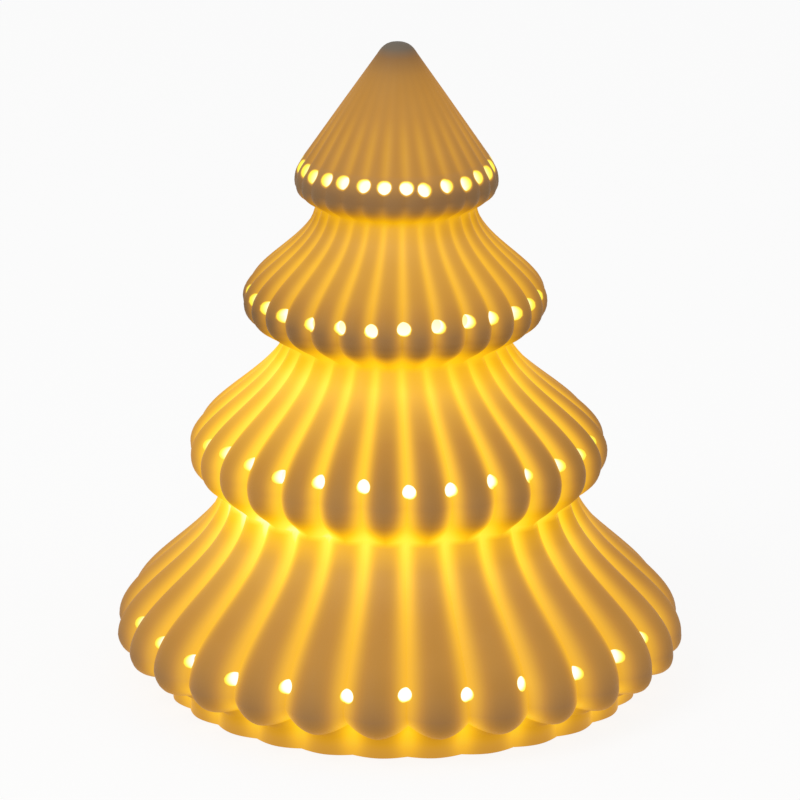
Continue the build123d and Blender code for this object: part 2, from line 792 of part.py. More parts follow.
# Circuit board on the box's posts
with BuildPart() as circuit_board:
    with BuildSketch(Plane.XY.offset(board_bottom)):
        Circle(board_radius)
        with GridLocations(board_post_spacing_x, board_post_spacing_y, 2, 2):
            Circle(board_screw_radius + screw_gap, mode=Mode.SUBTRACT)
    extrude(amount=board_thickness)
circuit_board.part.label = "circuit_board"
export_step(circuit_board.part, "parts/circuit_board.step")

# Lamps: domed LEDs in a ring
for index, spot in enumerate(PolarLocations(led_ring_radius, led_count)):
    with BuildPart() as led:
        with BuildSketch(Plane.XY.offset(board_top)):
            with Locations(spot.position):
                Circle(led_rim_radius)
        extrude(amount=led_rim_height)
        with BuildSketch(Plane.XY.offset(board_top)):
            with Locations(spot.position):
                Circle(led_radius)
        extrude(amount=led_body_height)
        with Locations(spot.position + Vector(0, 0, board_top + led_body_height)):
            Sphere(led_radius)
    led.part.label = f"led_{index + 1}"
    export_step(led.part, f"parts/led_{index + 1}.step")

# Timer chip with its legs
with BuildPart() as timer_chip:
    with BuildSketch(Plane.XY.offset(board_top)):
        with Locations((chip_x, 0)):
            Rectangle(chip_width, chip_length)
    extrude(amount=chip_height)
    with BuildSketch(Plane.XY.offset(board_top)):
        with Locations((chip_x, 0)):
            with GridLocations(0, chip_leg_pitch, 1, chip_leg_count):
                Rectangle(chip_width + 2 * chip_leg_reach, chip_leg_width)
    extrude(amount=chip_leg_height)
timer_chip.part.label = "timer_chip"
export_step(timer_chip.part, "parts/timer_chip.step")

# Resistors, one on each side of the lamps
with BuildPart() as resistors:
    with BuildSketch(Plane.XY.offset(board_top)):
        with GridLocations(0, resistor_spacing, 1, 2):
            Rectangle(resistor_length, resistor_width)
    extrude(amount=resistor_height)
resistors.part.label = "resistors"
export_step(resistors.part, "parts/resistors.step")

# Capacitor
with BuildPart() as capacitor:
    with BuildSketch(Plane.XY.offset(board_top)):
        with Locations((capacitor_x, capacitor_y)):
            Circle(capacitor_radius)
    extrude(amount=capacitor_height)
    fillet(capacitor.edges().filter_by(GeomType.CIRCLE).sort_by(Axis.Z)[-1], capacitor_round)
capacitor.part.label = "capacitor"
export_step(capacitor.part, "parts/capacitor.step")

# Slide switch on the flange, open below for the knob's stem
with BuildPart() as switch_body:
    with BuildSketch(Plane.XY.offset(flange_top)):
        with Locations((switch_x, 0)):
            Rectangle(switch_width, switch_length)
    extrude(amount=switch_height)
    with BuildSketch(Plane.XY.offset(flange_top)):
        with Locations((switch_x, 0)):
            Rectangle(stem_width + 2 * stem_gap, stem_length + 2 * (switch_travel + stem_gap))
    extrude(amount=switch_slot_depth, mode=Mode.SUBTRACT)
switch_body.part.label = "switch_body"
export_step(switch_body.part, "parts/switch_body.step")

# Switch knob: a thumb pad under the flange with its stem up in the switch
pad_top = flange_bottom - stem_gap
with BuildPart() as switch_knob:
    with BuildSketch(Plane.XY.offset(pad_top)):
        with Locations((switch_x, 0)):
            Rectangle(knob_width, knob_length)
    extrude(amount=-knob_thickness)
    fillet(switch_knob.edges().filter_by(Axis.Z), knob_round)
    with BuildSketch(Plane.XY.offset(pad_top)):
        with Locations((switch_x, 0)):
            Rectangle(stem_width, stem_length)
    extrude(amount=flange_top + stem_reach - pad_top)
switch_knob.part.label = "switch_knob"
export_step(switch_knob.part, "parts/switch_knob.step")

# Screws that hold the housing on the base plate, put in from below
with BuildPart() as housing_screws:
    with BuildSketch(Plane.XY.offset(flange_bottom)):
        with GridLocations(boss_spacing_x, boss_spacing_y, 2, 2):
            Circle(housing_head_radius)
    extrude(amount=housing_head_height)
    with BuildSketch(Plane.XY.offset(flange_bottom)):
        with GridLocations(boss_spacing_x, boss_spacing_y, 2, 2):
            Circle(housing_screw_radius)
    extrude(amount=housing_screw_length)
housing_screws.part.label = "housing_screws"
export_step(housing_screws.part, "parts/housing_screws.step")

# Screws that hold the circuit board on its posts
with BuildPart() as board_screws:
    with BuildSketch(Plane.XY.offset(board_top)):
        with GridLocations(board_post_spacing_x, board_post_spacing_y, 2, 2):
            Circle(board_head_radius)
    extrude(amount=board_head_height)
    with BuildSketch(Plane.XY.offset(board_top)):
        with GridLocations(board_post_spacing_x, board_post_spacing_y, 2, 2):
            Circle(board_screw_radius)
    extrude(amount=-board_screw_length)
board_screws.part.label = "board_screws"
export_step(board_screws.part, "parts/board_screws.step")


def wire_hoop(outside, inwards, start_height):
    """A wire that rises at a place outside the board, turns over its edge and comes down on it."""
    landing = outside + inwards * wire_inset
    crown = board_top + wire_lift
    with BuildLine() as route:
        FilletPolyline(
            (outside.X, outside.Y, start_height),
            (outside.X, outside.Y, crown),
            (landing.X, landing.Y, crown),
            (landing.X, landing.Y, board_top),
            radius=wire_bend_radius,
        )
    with BuildSketch(Plane((outside.X, outside.Y, start_height))) as section:
        Circle(wire_radius)
    sweep(section.sketch, path=route.wire())


# Wires from the terminal plates and from the switch to the board
with BuildPart() as wire_positive:
    wire_hoop(Vector(*tail_spots[0]), Vector(0, -1), tail_top)
wire_positive.part.label = "wire_positive"
export_step(wire_positive.part, "parts/wire_positive.step")
with BuildPart() as wire_negative:
    wire_hoop(Vector(*tail_spots[1]), Vector(0, 1), tail_top)
wire_negative.part.label = "wire_negative"
export_step(wire_negative.part, "parts/wire_negative.step")
with BuildPart() as switch_wires:
    for side in (-1, 1):
        wire_hoop(Vector(switch_x, side * switch_wire_spacing / 2), Vector(-1, 0), flange_top + switch_height)
switch_wires.part.label = "switch_wires"
export_step(switch_wires.part, "parts/switch_wires.step")

print(f"tree {tree_height:.1f} mm high, {2 * bottom_belly_radius:.1f} mm across")
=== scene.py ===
"""A lit porcelain Christmas tree lamp: its glowing shell, its light module and a plain white studio."""

import logging
import math
import random
from dataclasses import dataclass, field
from enum import Enum

import bpy
from mathutils import Matrix, Vector, kdtree


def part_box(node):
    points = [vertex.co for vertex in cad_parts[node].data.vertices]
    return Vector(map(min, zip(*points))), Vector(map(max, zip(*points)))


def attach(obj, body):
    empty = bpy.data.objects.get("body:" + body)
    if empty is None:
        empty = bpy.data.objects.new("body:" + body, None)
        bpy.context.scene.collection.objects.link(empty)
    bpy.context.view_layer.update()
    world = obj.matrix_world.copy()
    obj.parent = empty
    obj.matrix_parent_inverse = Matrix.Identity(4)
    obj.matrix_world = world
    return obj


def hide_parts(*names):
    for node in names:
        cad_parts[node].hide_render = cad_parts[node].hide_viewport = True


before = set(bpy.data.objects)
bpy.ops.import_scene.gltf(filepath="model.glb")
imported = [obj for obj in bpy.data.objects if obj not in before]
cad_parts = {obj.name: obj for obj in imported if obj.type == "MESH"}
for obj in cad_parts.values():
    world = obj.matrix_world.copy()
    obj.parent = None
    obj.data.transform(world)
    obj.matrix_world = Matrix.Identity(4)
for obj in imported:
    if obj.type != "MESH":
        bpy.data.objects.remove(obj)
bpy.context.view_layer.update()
log = logging.getLogger("porcelain_lamp")

Piece = bpy.types.Object
Socket = bpy.types.NodeSocket
Colour = tuple[float, float, float]
Stops = tuple[float, ...]
Pairs = tuple[tuple[float, float], ...]
ColourStops = tuple[tuple[float, Colour], ...]

WHITE: Colour = (1.0, 1.0, 1.0)
METAL_TINT: Colour = (0.8, 0.8, 0.8)
METRE_IN_MM = 1000.0
# The way that the tip's cone runs down, as radius and height.
CONE_WAY = Vector((0.571, -0.821))


def deselect_all() -> None:
    """Leaves object mode with nothing selected, so that an operator acts on one piece alone."""
    if bpy.context.mode != "OBJECT":
        bpy.ops.object.mode_set(mode="OBJECT")
    bpy.ops.object.select_all(action="DESELECT")


def make_active(piece: Piece) -> None:
    """Makes one piece the only selected one, and the active one.

    Args:
        piece: The piece.
    """
    deselect_all()
    piece.select_set(True)
    bpy.context.view_layer.objects.active = piece


def apply_place() -> None:
    """Puts the selected piece's place, turn and scale into its mesh."""
    bpy.ops.object.transform_apply(location=True, rotation=True, scale=True)


def join_pieces(pieces: list[Piece]) -> Piece:
    """Joins pieces into one whose place is in its mesh.

    Args:
        pieces: The pieces, which become the first one.

    Returns:
        The joined piece.
    """
    deselect_all()
    for piece in pieces:
        piece.select_set(True)
    bpy.context.view_layer.objects.active = pieces[0]
    bpy.ops.object.join()
    apply_place()
    return bpy.context.object


def copy_to(piece: Piece, place: Matrix) -> Piece:
    """Copies a piece, with its own mesh, to another place.

    Args:
        piece: The piece to copy.
        place: Where the copy goes, and how it is turned.

    Returns:
        The copy.
    """
    twin = piece.copy()
    twin.data = piece.data.copy()
    twin.matrix_world = place
    bpy.context.scene.collection.objects.link(twin)
    return twin


def cut_away(piece: Piece, cutter: Piece) -> None:
    """Cuts a tool's shape out of a piece and removes the tool.

    Args:
        piece: The piece that is cut.
        cutter: The tool, a closed shape.
    """
    cut = piece.modifiers.new("cut", "BOOLEAN")
    cut.operation = "DIFFERENCE"
    cut.solver = "MANIFOLD"
    cut.object = cutter
    make_active(piece)
    bpy.ops.object.modifier_apply(modifier=cut.name)
    bpy.data.objects.remove(cutter, do_unlink=True)


def wear(piece: Piece, material: bpy.types.Material) -> None:
    """Gives all of a piece one material."""
    piece.data.materials.clear()
    piece.data.materials.append(material)


def make_finder(places: list[Vector]) -> kdtree.KDTree:
    """Makes a finder of the nearest of some places.

    Args:
        places: The places, which the finder numbers in their order.

    Returns:
        The finder.
    """
    finder = kdtree.KDTree(len(places))
    for number, place in enumerate(places):
        finder.insert(place, number)
    finder.balance()
    return finder


def blended(stops: Stops, share: float) -> float:
    """Reads a row of evenly spaced stops.

    Args:
        stops: The values at even steps from 0 to 1.
        share: Where to read, from 0 to 1.

    Returns:
        The value there, in a straight line between the two nearest stops.
    """
    place = min(max(share, 0.0), 1.0) * (len(stops) - 1)
    low = min(int(place), len(stops) - 2)
    return stops[low] + (stops[low + 1] - stops[low]) * (place - low)


@dataclass(frozen=True)
class Drift:
    """A value that changes slowly up the tree, given as pairs of a height and the value there."""

    stops: Pairs

    def at(self, height: float) -> float:
        """Reads the value at a height.

        Args:
            height: Where to read. Past the lowest and the highest given height the value stays.

        Returns:
            The value there, in a straight line between the two nearest given heights.
        """
        for (low, start), (high, end) in zip(self.stops, self.stops[1:]):
            if height <= high:
                return start + (end - start) * max(0.0, height - low) / (high - low)
        return self.stops[-1][1]


@dataclass(frozen=True)
class Curve:
    """Where the two inner control points of a stretch lie.

    Each value is a share: out and back of the stretch's own reach, down and up of its drop, measured from
    its start or its end. Cone is a share of the drop too, but along the tip's cone.
    """

    start_out: float = 0.0
    start_down: float = 0.0
    start_cone: float = 0.0
    end_back: float = 0.0
    end_up: float = 0.0
    end_cone: float = 0.0

    def handles(self, start: Vector, end: Vector) -> tuple[Vector, Vector]:
        """Works out the two inner control points.

        Args:
            start: Where the stretch starts, as radius and height.
            end: Where it ends.

        Returns:
            The control point near the start and the one near the end.
        """
        reach, drop = end.x - start.x, start.y - end.y
        along_cone = CONE_WAY * drop
        near_start = start + Vector((reach * self.start_out, -drop * self.start_down))
        near_end = end + Vector((-reach * self.end_back, drop * self.end_up))
        return near_start + along_cone * self.start_cone, near_end - along_cone * self.end_cone


class Bend(Enum):
    """How a stretch of the tree's profile runs from one spot to the next."""

    STRAIGHT = Curve(start_out=1 / 3, start_down=1 / 3, end_back=1 / 3, end_up=1 / 3)
    STEEP_SLOPE = Curve(start_out=0.03, start_down=0.40, end_up=0.34)
    SLOPE = Curve(start_out=0.10, start_down=0.40, end_up=0.34)
    WIDE_SLOPE = Curve(start_out=0.17, start_down=0.40, end_up=0.34)
    TUCK = Curve(start_down=0.60, end_back=0.28, end_up=0.25)
    LIP = Curve(start_down=0.75, end_back=0.50, end_up=0.06)
    SHOULDER = Curve(start_cone=0.45, end_up=0.45)
    TIP = Curve(start_out=0.66, end_cone=0.55)
    DOME = Curve(start_down=0.35, end_back=0.45)


class Skin(Enum):
    """The porcelain's two surfaces."""

    OUTSIDE = "outside"
    INSIDE = "inside"


@dataclass(frozen=True)
class Spot:
    """A turning point of the profile: its crest's radius and height, and how far off its groove lies."""

    radius: float
    height: float
    depth: float = 0.0
    rise: float = 0.0

    def at(self, groove: float) -> Vector:
        """Radius and height, from the crest at 0 to the groove at 1."""
        return Vector((self.radius - self.depth * groove, self.height + self.rise * groove))


@dataclass(frozen=True)
class Row:
    """One ring of the shell.

    It has its crest and groove as radius and height, their glow, its place on the painted shade scale, how
    far the groove's glow spreads over its flanks, and its skin.
    """

    crest: Vector
    groove: Vector
    crest_glow: float
    groove_glow: float
    bare: float
    flank: float
    skin: Skin

    def drawn(self) -> Vector:
        """The crest's place on the profile, in the plane that the profile is drawn in."""
        return Vector((self.crest.x, 0.0, self.crest.y))


@dataclass(frozen=True)
class Stretch:
    """A stretch of the profile, with the values of its rings at even steps from its start to its end.

    A stretch that climbs is drawn from its end to its start.
    """

    start: Spot
    end: Spot
    bend: Bend
    steps: int
    crest_glow: Stops = (0.3, 0.3)
    groove_glow: Stops = (0.3, 0.3)
    bare: Stops = (0.5, 0.5)
    flank: Stops = (0.42, 0.42)
    skin: Skin = Skin.OUTSIDE
    climbs: bool = False

    def point(self, share: float, groove: float) -> Vector:
        """Works out a point of the stretch.

        Args:
            share: How far along, from 0 to 1.
            groove: 0 for the crest's line, 1 for the groove's.

        Returns:
            Its radius and height.
        """
        first, last = self.start.at(groove), self.end.at(groove)
        second, third = self.bend.value.handles(first, last)
        rest = 1 - share
        near_start = first * rest ** 3 + second * 3 * share * rest ** 2
        near_end = third * 3 * share ** 2 * rest + last * share ** 3
        return near_start + near_end

    def row(self, step: int) -> Row:
        """Makes one ring of the stretch.

        Args:
            step: Which ring, in the order that they are drawn in.

        Returns:
            The ring.
        """
        share = step / self.steps
        if self.climbs:
            share = 1 - share
        kinds = (self.crest_glow, self.groove_glow, self.bare, self.flank)
        values = [blended(stops, share) for stops in kinds]
        return Row(self.point(share, 0.0), self.point(share, 1.0), *values, self.skin)


@dataclass(frozen=True)
class HoleRing:
    """A ring of light holes, one in each groove.

    Those at the front, from left to right, have their own slips in degrees and rises in millimetres.
    """

    height: float
    radius: float
    tilt: float
    front_slips: Stops
    front_rises: Stops


@dataclass(frozen=True)
class Hole:
    """One light hole: a point on its axis and the way that it points."""

    middle: Vector
    way: Vector

    def stand(self) -> Matrix:
        """The place and turn of a rod that lies along the hole."""
        return Matrix.Translation(self.middle) @ self.way.to_track_quat("Z", "Y").to_matrix().to_4x4()

    def off_axis(self, place: Vector) -> float:
        """How far a place is from the hole's axis."""
        arm = place - self.middle
        return (arm - self.way * arm.dot(self.way)).length


def opaque(colour: Colour) -> tuple[float, float, float, float]:
    """A colour with full alpha, as sockets take it."""
    return (*colour, 1.0)


@dataclass
class NodeDesk:
    """Lays out the nodes of one material or group."""

    tree: bpy.types.NodeTree
    new_stop: float = 0.5

    def add(self, kind: str, **settings: object) -> bpy.types.Node:
        """Adds a node.

        Args:
            kind: The node's type name.
            settings: Values for its properties, or for its sockets by a dictionary named values.

        Returns:
            The new node.
        """
        values = settings.pop("values", {})
        node = self.tree.nodes.new(kind)
        for name, value in settings.items():
            setattr(node, name, value)
        for name, value in values.items():
            node.inputs[name].default_value = value
        return node

    def link(self, output: Socket, socket: Socket) -> None:
        """Joins an output to an input."""
        self.tree.links.new(output, socket)

    def attribute(self, name: str) -> Socket:
        """Reads a value that the piece has at each of its points."""
        return self.add("ShaderNodeAttribute", attribute_name=name).outputs["Fac"]

    def share(self, value: Socket, low: float, high: float) -> Socket:
        """Puts a value on a scale.

        Args:
            value: The value.
            low: What counts as 0.
            high: What counts as 1.

        Returns:
            The value's place on that scale.
        """
        node = self.add("ShaderNodeMapRange", values={"From Min": low, "From Max": high})
        self.link(value, node.inputs["Value"])
        return node.outputs["Result"]

    def along(self, axis: str, low: float, high: float) -> Socket:
        """Reads how far along one of the piece's own axes a point is.

        Args:
            axis: The axis, X, Y or Z.
            low: Where the scale starts, in metres.
            high: Where it ends.

        Returns:
            The point's place on that scale, from 0 to 1.
        """
        place = self.add("ShaderNodeTexCoord")
        parts = self.add("ShaderNodeSeparateXYZ")
        self.link(place.outputs["Object"], parts.inputs["Vector"])
        return self.share(parts.outputs[axis], low, high)

    def larger(self, first: Socket, second: Socket) -> Socket:
        """Takes the larger of two values.

        Args:
            first: One value.
            second: The other.

        Returns:
            The larger one.
        """
        node = self.add("ShaderNodeMath", operation="MAXIMUM")
        self.link(first, node.inputs[0])
        self.link(second, node.inputs[1])
        return node.outputs["Value"]

    def ramp(self, stops: ColourStops, factor: Socket, step: bool = False) -> Socket:
        """Adds a colour ramp.

        Args:
            stops: Places from 0 to 1 and their colours.
            factor: The value that reads the ramp.
            step: Whether the colours change at once, with no blend between them.

        Returns:
            The ramp's colour output.
        """
        node = self.add("ShaderNodeValToRGB")
        node.color_ramp.interpolation = "CONSTANT" if step else "LINEAR"
        elements = node.color_ramp.elements
        while len(elements) < len(stops):
            elements.new(self.new_stop)
        for element, (place, colour) in zip(elements, stops):
            element.position = place
            element.color = opaque(colour)
        self.link(factor, node.inputs["Fac"])
        return node.outputs["Color"]


def new_group(name: str, inputs: dict[str, str], outputs: dict[str, str]) -> bpy.types.NodeTree:
    """Makes an empty shader node group with named sockets.

    Args:
        name: The group's name.
        inputs: For each input, its socket type.
        outputs: For each output, its socket type.

    Returns:
        The group.
    """
    group = bpy.data.node_groups.new(name, "ShaderNodeTree")
    for way, sockets in (("INPUT", inputs), ("OUTPUT", outputs)):
        for label, kind in sockets.items():
            group.interface.new_socket(name=label, in_out=way, socket_type=kind)
    return group


@dataclass(frozen=True)
class Noise:
    """A soft noise, and the part of its range that is used."""

    detail: float
    roughness: float
    low: float
    high: float

    def lay(self, desk: NodeDesk, scale: Socket) -> tuple[Socket, bpy.types.Node]:
        """Adds the noise, on the piece's own coordinates, and a node that spreads its range.

        Args:
            desk: Where the nodes go.
            scale: What gives the noise its scale.

        Returns:
            The noise as it is, and the node that spreads it.
        """
        place = desk.add("ShaderNodeTexCoord")
        noise = desk.add("ShaderNodeTexNoise", values={"Detail": self.detail, "Roughness": self.roughness})
        spread = desk.add("ShaderNodeMapRange", values={"From Min": self.low, "From Max": self.high})
        desk.link(place.outputs["Object"], noise.inputs["Vector"])
        desk.link(scale, noise.inputs["Scale"])
        desk.link(noise.outputs["Fac"], spread.inputs["Value"])
        return noise.outputs["Fac"], spread


@dataclass
class SharedEffects:
    """The node groups that several finishes use."""

    mottle_noise: Noise = Noise(detail=4.0, roughness=0.55, low=0.35, high=0.68)
    grain_noise: Noise = Noise(detail=3.0, roughness=0.6, low=0.3, high=0.7)

    def __post_init__(self) -> None:
        """Builds both groups."""
        self.mottle = self.make_mottle()
        self.grain = self.make_grain()

    def make_mottle(self) -> bpy.types.NodeTree:
        """Makes the group that tints soft patches of a colour.

        Returns:
            The group.
        """
        group = new_group(
            "soft_mottle",
            {"Colour": "NodeSocketColor", "Tint": "NodeSocketColor", "Scale": "NodeSocketFloat"},
            {"Colour": "NodeSocketColor"},
        )
        desk = NodeDesk(group)
        into = desk.add("NodeGroupInput")
        out = desk.add("NodeGroupOutput")
        mix = desk.add("ShaderNodeMix", data_type="RGBA", blend_type="MULTIPLY")
        spread = self.mottle_noise.lay(desk, into.outputs["Scale"])[1]
        desk.link(spread.outputs["Result"], mix.inputs["Factor"])
        desk.link(into.outputs["Colour"], mix.inputs["A"])
        desk.link(into.outputs["Tint"], mix.inputs["B"])
        desk.link(mix.outputs["Result"], out.inputs["Colour"])
        return group

    def make_grain(self) -> bpy.types.NodeTree:
        """Makes the group that gives a fine grain, as a height and as a roughness.

        Returns:
            The group.
        """
        group = new_group(
            "fine_grain",
            {"Scale": "NodeSocketFloat", "Smooth": "NodeSocketFloat", "Rough": "NodeSocketFloat"},
            {"Roughness": "NodeSocketFloat", "Height": "NodeSocketFloat"},
        )
        desk = NodeDesk(group)
        into = desk.add("NodeGroupInput")
        out = desk.add("NodeGroupOutput")
        noise, spread = self.grain_noise.lay(desk, into.outputs["Scale"])
        desk.link(into.outputs["Smooth"], spread.inputs["To Min"])
        desk.link(into.outputs["Rough"], spread.inputs["To Max"])
        desk.link(spread.outputs["Result"], out.inputs["Roughness"])
        desk.link(noise, out.inputs["Height"])
        return group


@dataclass(frozen=True)
class Mottle:
    """The soft patches of a finish: their tint and their scale."""

    tint: Colour
    scale: float


@dataclass(frozen=True)
class Grain:
    """The fine grain of a finish: its scale, least and greatest roughness, and depth in metres."""

    scale: float
    smooth: float
    rough: float
    depth: float


PORCELAIN_MOTTLE = Mottle(tint=(0.90, 0.88, 0.86), scale=45.0)
PORCELAIN_GRAIN = Grain(scale=1800.0, smooth=0.50, rough=0.68, depth=0.00003)


def blank_material(name: str) -> bpy.types.Material:
    """Makes a material that has no nodes yet.

    Args:
        name: The material's name.

    Returns:
        The material.
    """
    material = bpy.data.materials.new(name)
    material.use_nodes = True
    material.node_tree.nodes.clear()
    return material


@dataclass
class Surface:
    """A material being made: a Principled shader with a mottled colour and a fine grain."""

    name: str
    effects: SharedEffects
    bump_strength: float = 0.5

    def __post_init__(self) -> None:
        """Makes the material with its shader and its output."""
        self.material = blank_material(self.name)
        self.desk = NodeDesk(self.material.node_tree)
        self.shader = self.desk.add("ShaderNodeBsdfPrincipled")
        out = self.desk.add("ShaderNodeOutputMaterial")
        self.desk.link(self.shader.outputs["BSDF"], out.inputs["Surface"])

    def hold(self, **values: object) -> None:
        """Sets what is the same all over the surface, by its socket's name with _ for each space."""
        for name, value in values.items():
            self.shader.inputs[name.replace("_", " ")].default_value = value

    def mottle(self, mottle: Mottle) -> Socket:
        """Sends a mottled colour to the shader.

        Args:
            mottle: The patches.

        Returns:
            The socket that takes the colour under them.
        """
        node = self.desk.add("ShaderNodeGroup", node_tree=self.effects.mottle)
        node.inputs["Tint"].default_value = opaque(mottle.tint)
        node.inputs["Scale"].default_value = mottle.scale
        self.desk.link(node.outputs["Colour"], self.shader.inputs["Base Color"])
        return node.inputs["Colour"]

    def grain(self, grain: Grain) -> None:
        """Gives the shader a fine grain, in its roughness and as a bump.

        Args:
            grain: The grain.
        """
        node = self.desk.add("ShaderNodeGroup", node_tree=self.effects.grain)
        node.inputs["Scale"].default_value = grain.scale
        node.inputs["Smooth"].default_value = grain.smooth
        node.inputs["Rough"].default_value = grain.rough
        relief = {"Strength": self.bump_strength, "Distance": grain.depth}
        bump = self.desk.add("ShaderNodeBump", values=relief)
        self.desk.link(node.outputs["Roughness"], self.shader.inputs["Roughness"])
        self.desk.link(node.outputs["Height"], bump.inputs["Height"])
        self.desk.link(bump.outputs["Normal"], self.shader.inputs["Normal"])


@dataclass(frozen=True)
class Coating:
    """What every finish is: a name, and a way to paint a surface."""

    name: str

    def make(self, effects: SharedEffects) -> bpy.types.Material:
        """Builds the material.

        Args:
            effects: The shared node groups.

        Returns:
            The material.
        """
        surface = Surface(self.name, effects)
        self.paint(surface)
        return surface.material

    def paint(self, surface: Surface) -> None:
        """Paints the surface, which each finish does in its own way."""
        raise NotImplementedError


@dataclass(frozen=True)
class Finish(Coating):
    """A plain finish: a mottled colour with a fine grain, metal or not, lit or not."""

    colour: Colour
    smooth: float
    rough: float
    tint: Colour = (0.93, 0.92, 0.90)
    mottle_scale: float = 80.0
    grain_scale: float = 2500.0
    grain_depth: float = 0.00004
    metallic: float = 0.0
    light: Colour = (0.0, 0.0, 0.0)
    light_strength: float = 0.0

    def paint(self, surface: Surface) -> None:
        """Paints the colour, the grain and the light.

        Args:
            surface: The surface.
        """
        surface.mottle(Mottle(self.tint, self.mottle_scale)).default_value = opaque(self.colour)
        surface.grain(Grain(self.grain_scale, self.smooth, self.rough, self.grain_depth))
        surface.hold(Metallic=self.metallic)
        surface.hold(Emission_Color=opaque(self.light), Emission_Strength=self.light_strength)


def metal(name: str, colour: Colour, smooth: float, rough: float) -> Finish:
    """A bare metal's finish, whose patches are darker than a plastic's."""
    return Finish(name, colour, smooth, rough, METAL_TINT, metallic=1.0)


@dataclass(frozen=True)
class CellSleeve(Coating):
    """A dry cell: a plain dark sleeve with a warm band at its positive end, and bare steel ends."""

    facing: float
    half_length: float = 0.02225
    sleeve_start: float = 0.05
    band_start: float = 0.72
    cap_start: float = 0.955
    steel: Colour = (0.42, 0.41, 0.40)
    sleeve: Colour = (0.030, 0.034, 0.045)
    band: Colour = (0.50, 0.27, 0.09)
    patches: Mottle = Mottle(tint=(0.9, 0.9, 0.9), scale=120.0)
    grain: Grain = Grain(scale=3000.0, smooth=0.24, rough=0.36, depth=0.00001)
    coat: float = 0.3

    def paint(self, surface: Surface) -> None:
        """Paints the bands, which follow the cell's length along Y.

        Args:
            surface: The surface.
        """
        reach = self.half_length * self.facing
        bands = (
            (0.0, self.steel),
            (self.sleeve_start, self.sleeve),
            (self.band_start, self.band),
            (self.cap_start, self.steel),
        )
        colour = surface.desk.ramp(bands, surface.desk.along("Y", -reach, reach), step=True)
        surface.desk.link(colour, surface.mottle(self.patches))
        surface.grain(self.grain)
        surface.hold(Coat_Weight=self.coat)


@dataclass(frozen=True)
class FloorPorcelain(Coating):
    """The porcelain floor: its top is lit by the lamps, and a dim glow comes through to its underside."""

    colour: Colour = (0.20, 0.16, 0.10)
    under_glow: Colour = (0.34, 0.14, 0.01)
    top_glow: Colour = (1.0, 1.0, 0.90)
    underside: float = 0.0055
    top: float = 0.0090
    glow_start: float = 0.3
    glow_end: float = 0.95

    def paint(self, surface: Surface) -> None:
        """Paints the porcelain and its glow, which follows the slab's height.

        Args:
            surface: The surface.
        """
        surface.mottle(PORCELAIN_MOTTLE).default_value = opaque(self.colour)
        surface.grain(PORCELAIN_GRAIN)
        rise = surface.desk.along("Z", self.underside, self.top)
        glow = surface.desk.ramp(((self.glow_start, self.under_glow), (self.glow_end, self.top_glow)), rise)
        surface.desk.link(glow, surface.shader.inputs["Emission Color"])
        surface.hold(Emission_Strength=1.0)


@dataclass(frozen=True)
class BoardMask(Coating):
    """A circuit board's green mask, with copper tracks that show faintly under it."""

    mask: Colour = (0.020, 0.130, 0.055)
    track: Colour = (0.045, 0.210, 0.085)
    track_scale: float = 170.0
    track_width: float = 0.34
    patches: Mottle = Mottle(tint=(0.9, 0.92, 0.9), scale=200.0)
    grain: Grain = Grain(scale=2500.0, smooth=0.25, rough=0.38, depth=0.00002)
    coat: float = 0.3

    def paint(self, surface: Surface) -> None:
        """Paints the mask and its tracks, which come from a pattern of cells.

        Args:
            surface: The surface.
        """
        desk = surface.desk
        place = desk.add("ShaderNodeTexCoord")
        cells = desk.add("ShaderNodeTexVoronoi", distance="MANHATTAN", values={"Scale": self.track_scale})
        desk.link(place.outputs["Object"], cells.inputs["Vector"])
        tracks = ((0.0, self.track), (self.track_width, self.mask))
        colour = desk.ramp(tracks, cells.outputs["Distance"], step=True)
        desk.link(colour, surface.mottle(self.patches))
        surface.grain(self.grain)
        surface.hold(Coat_Weight=self.coat)


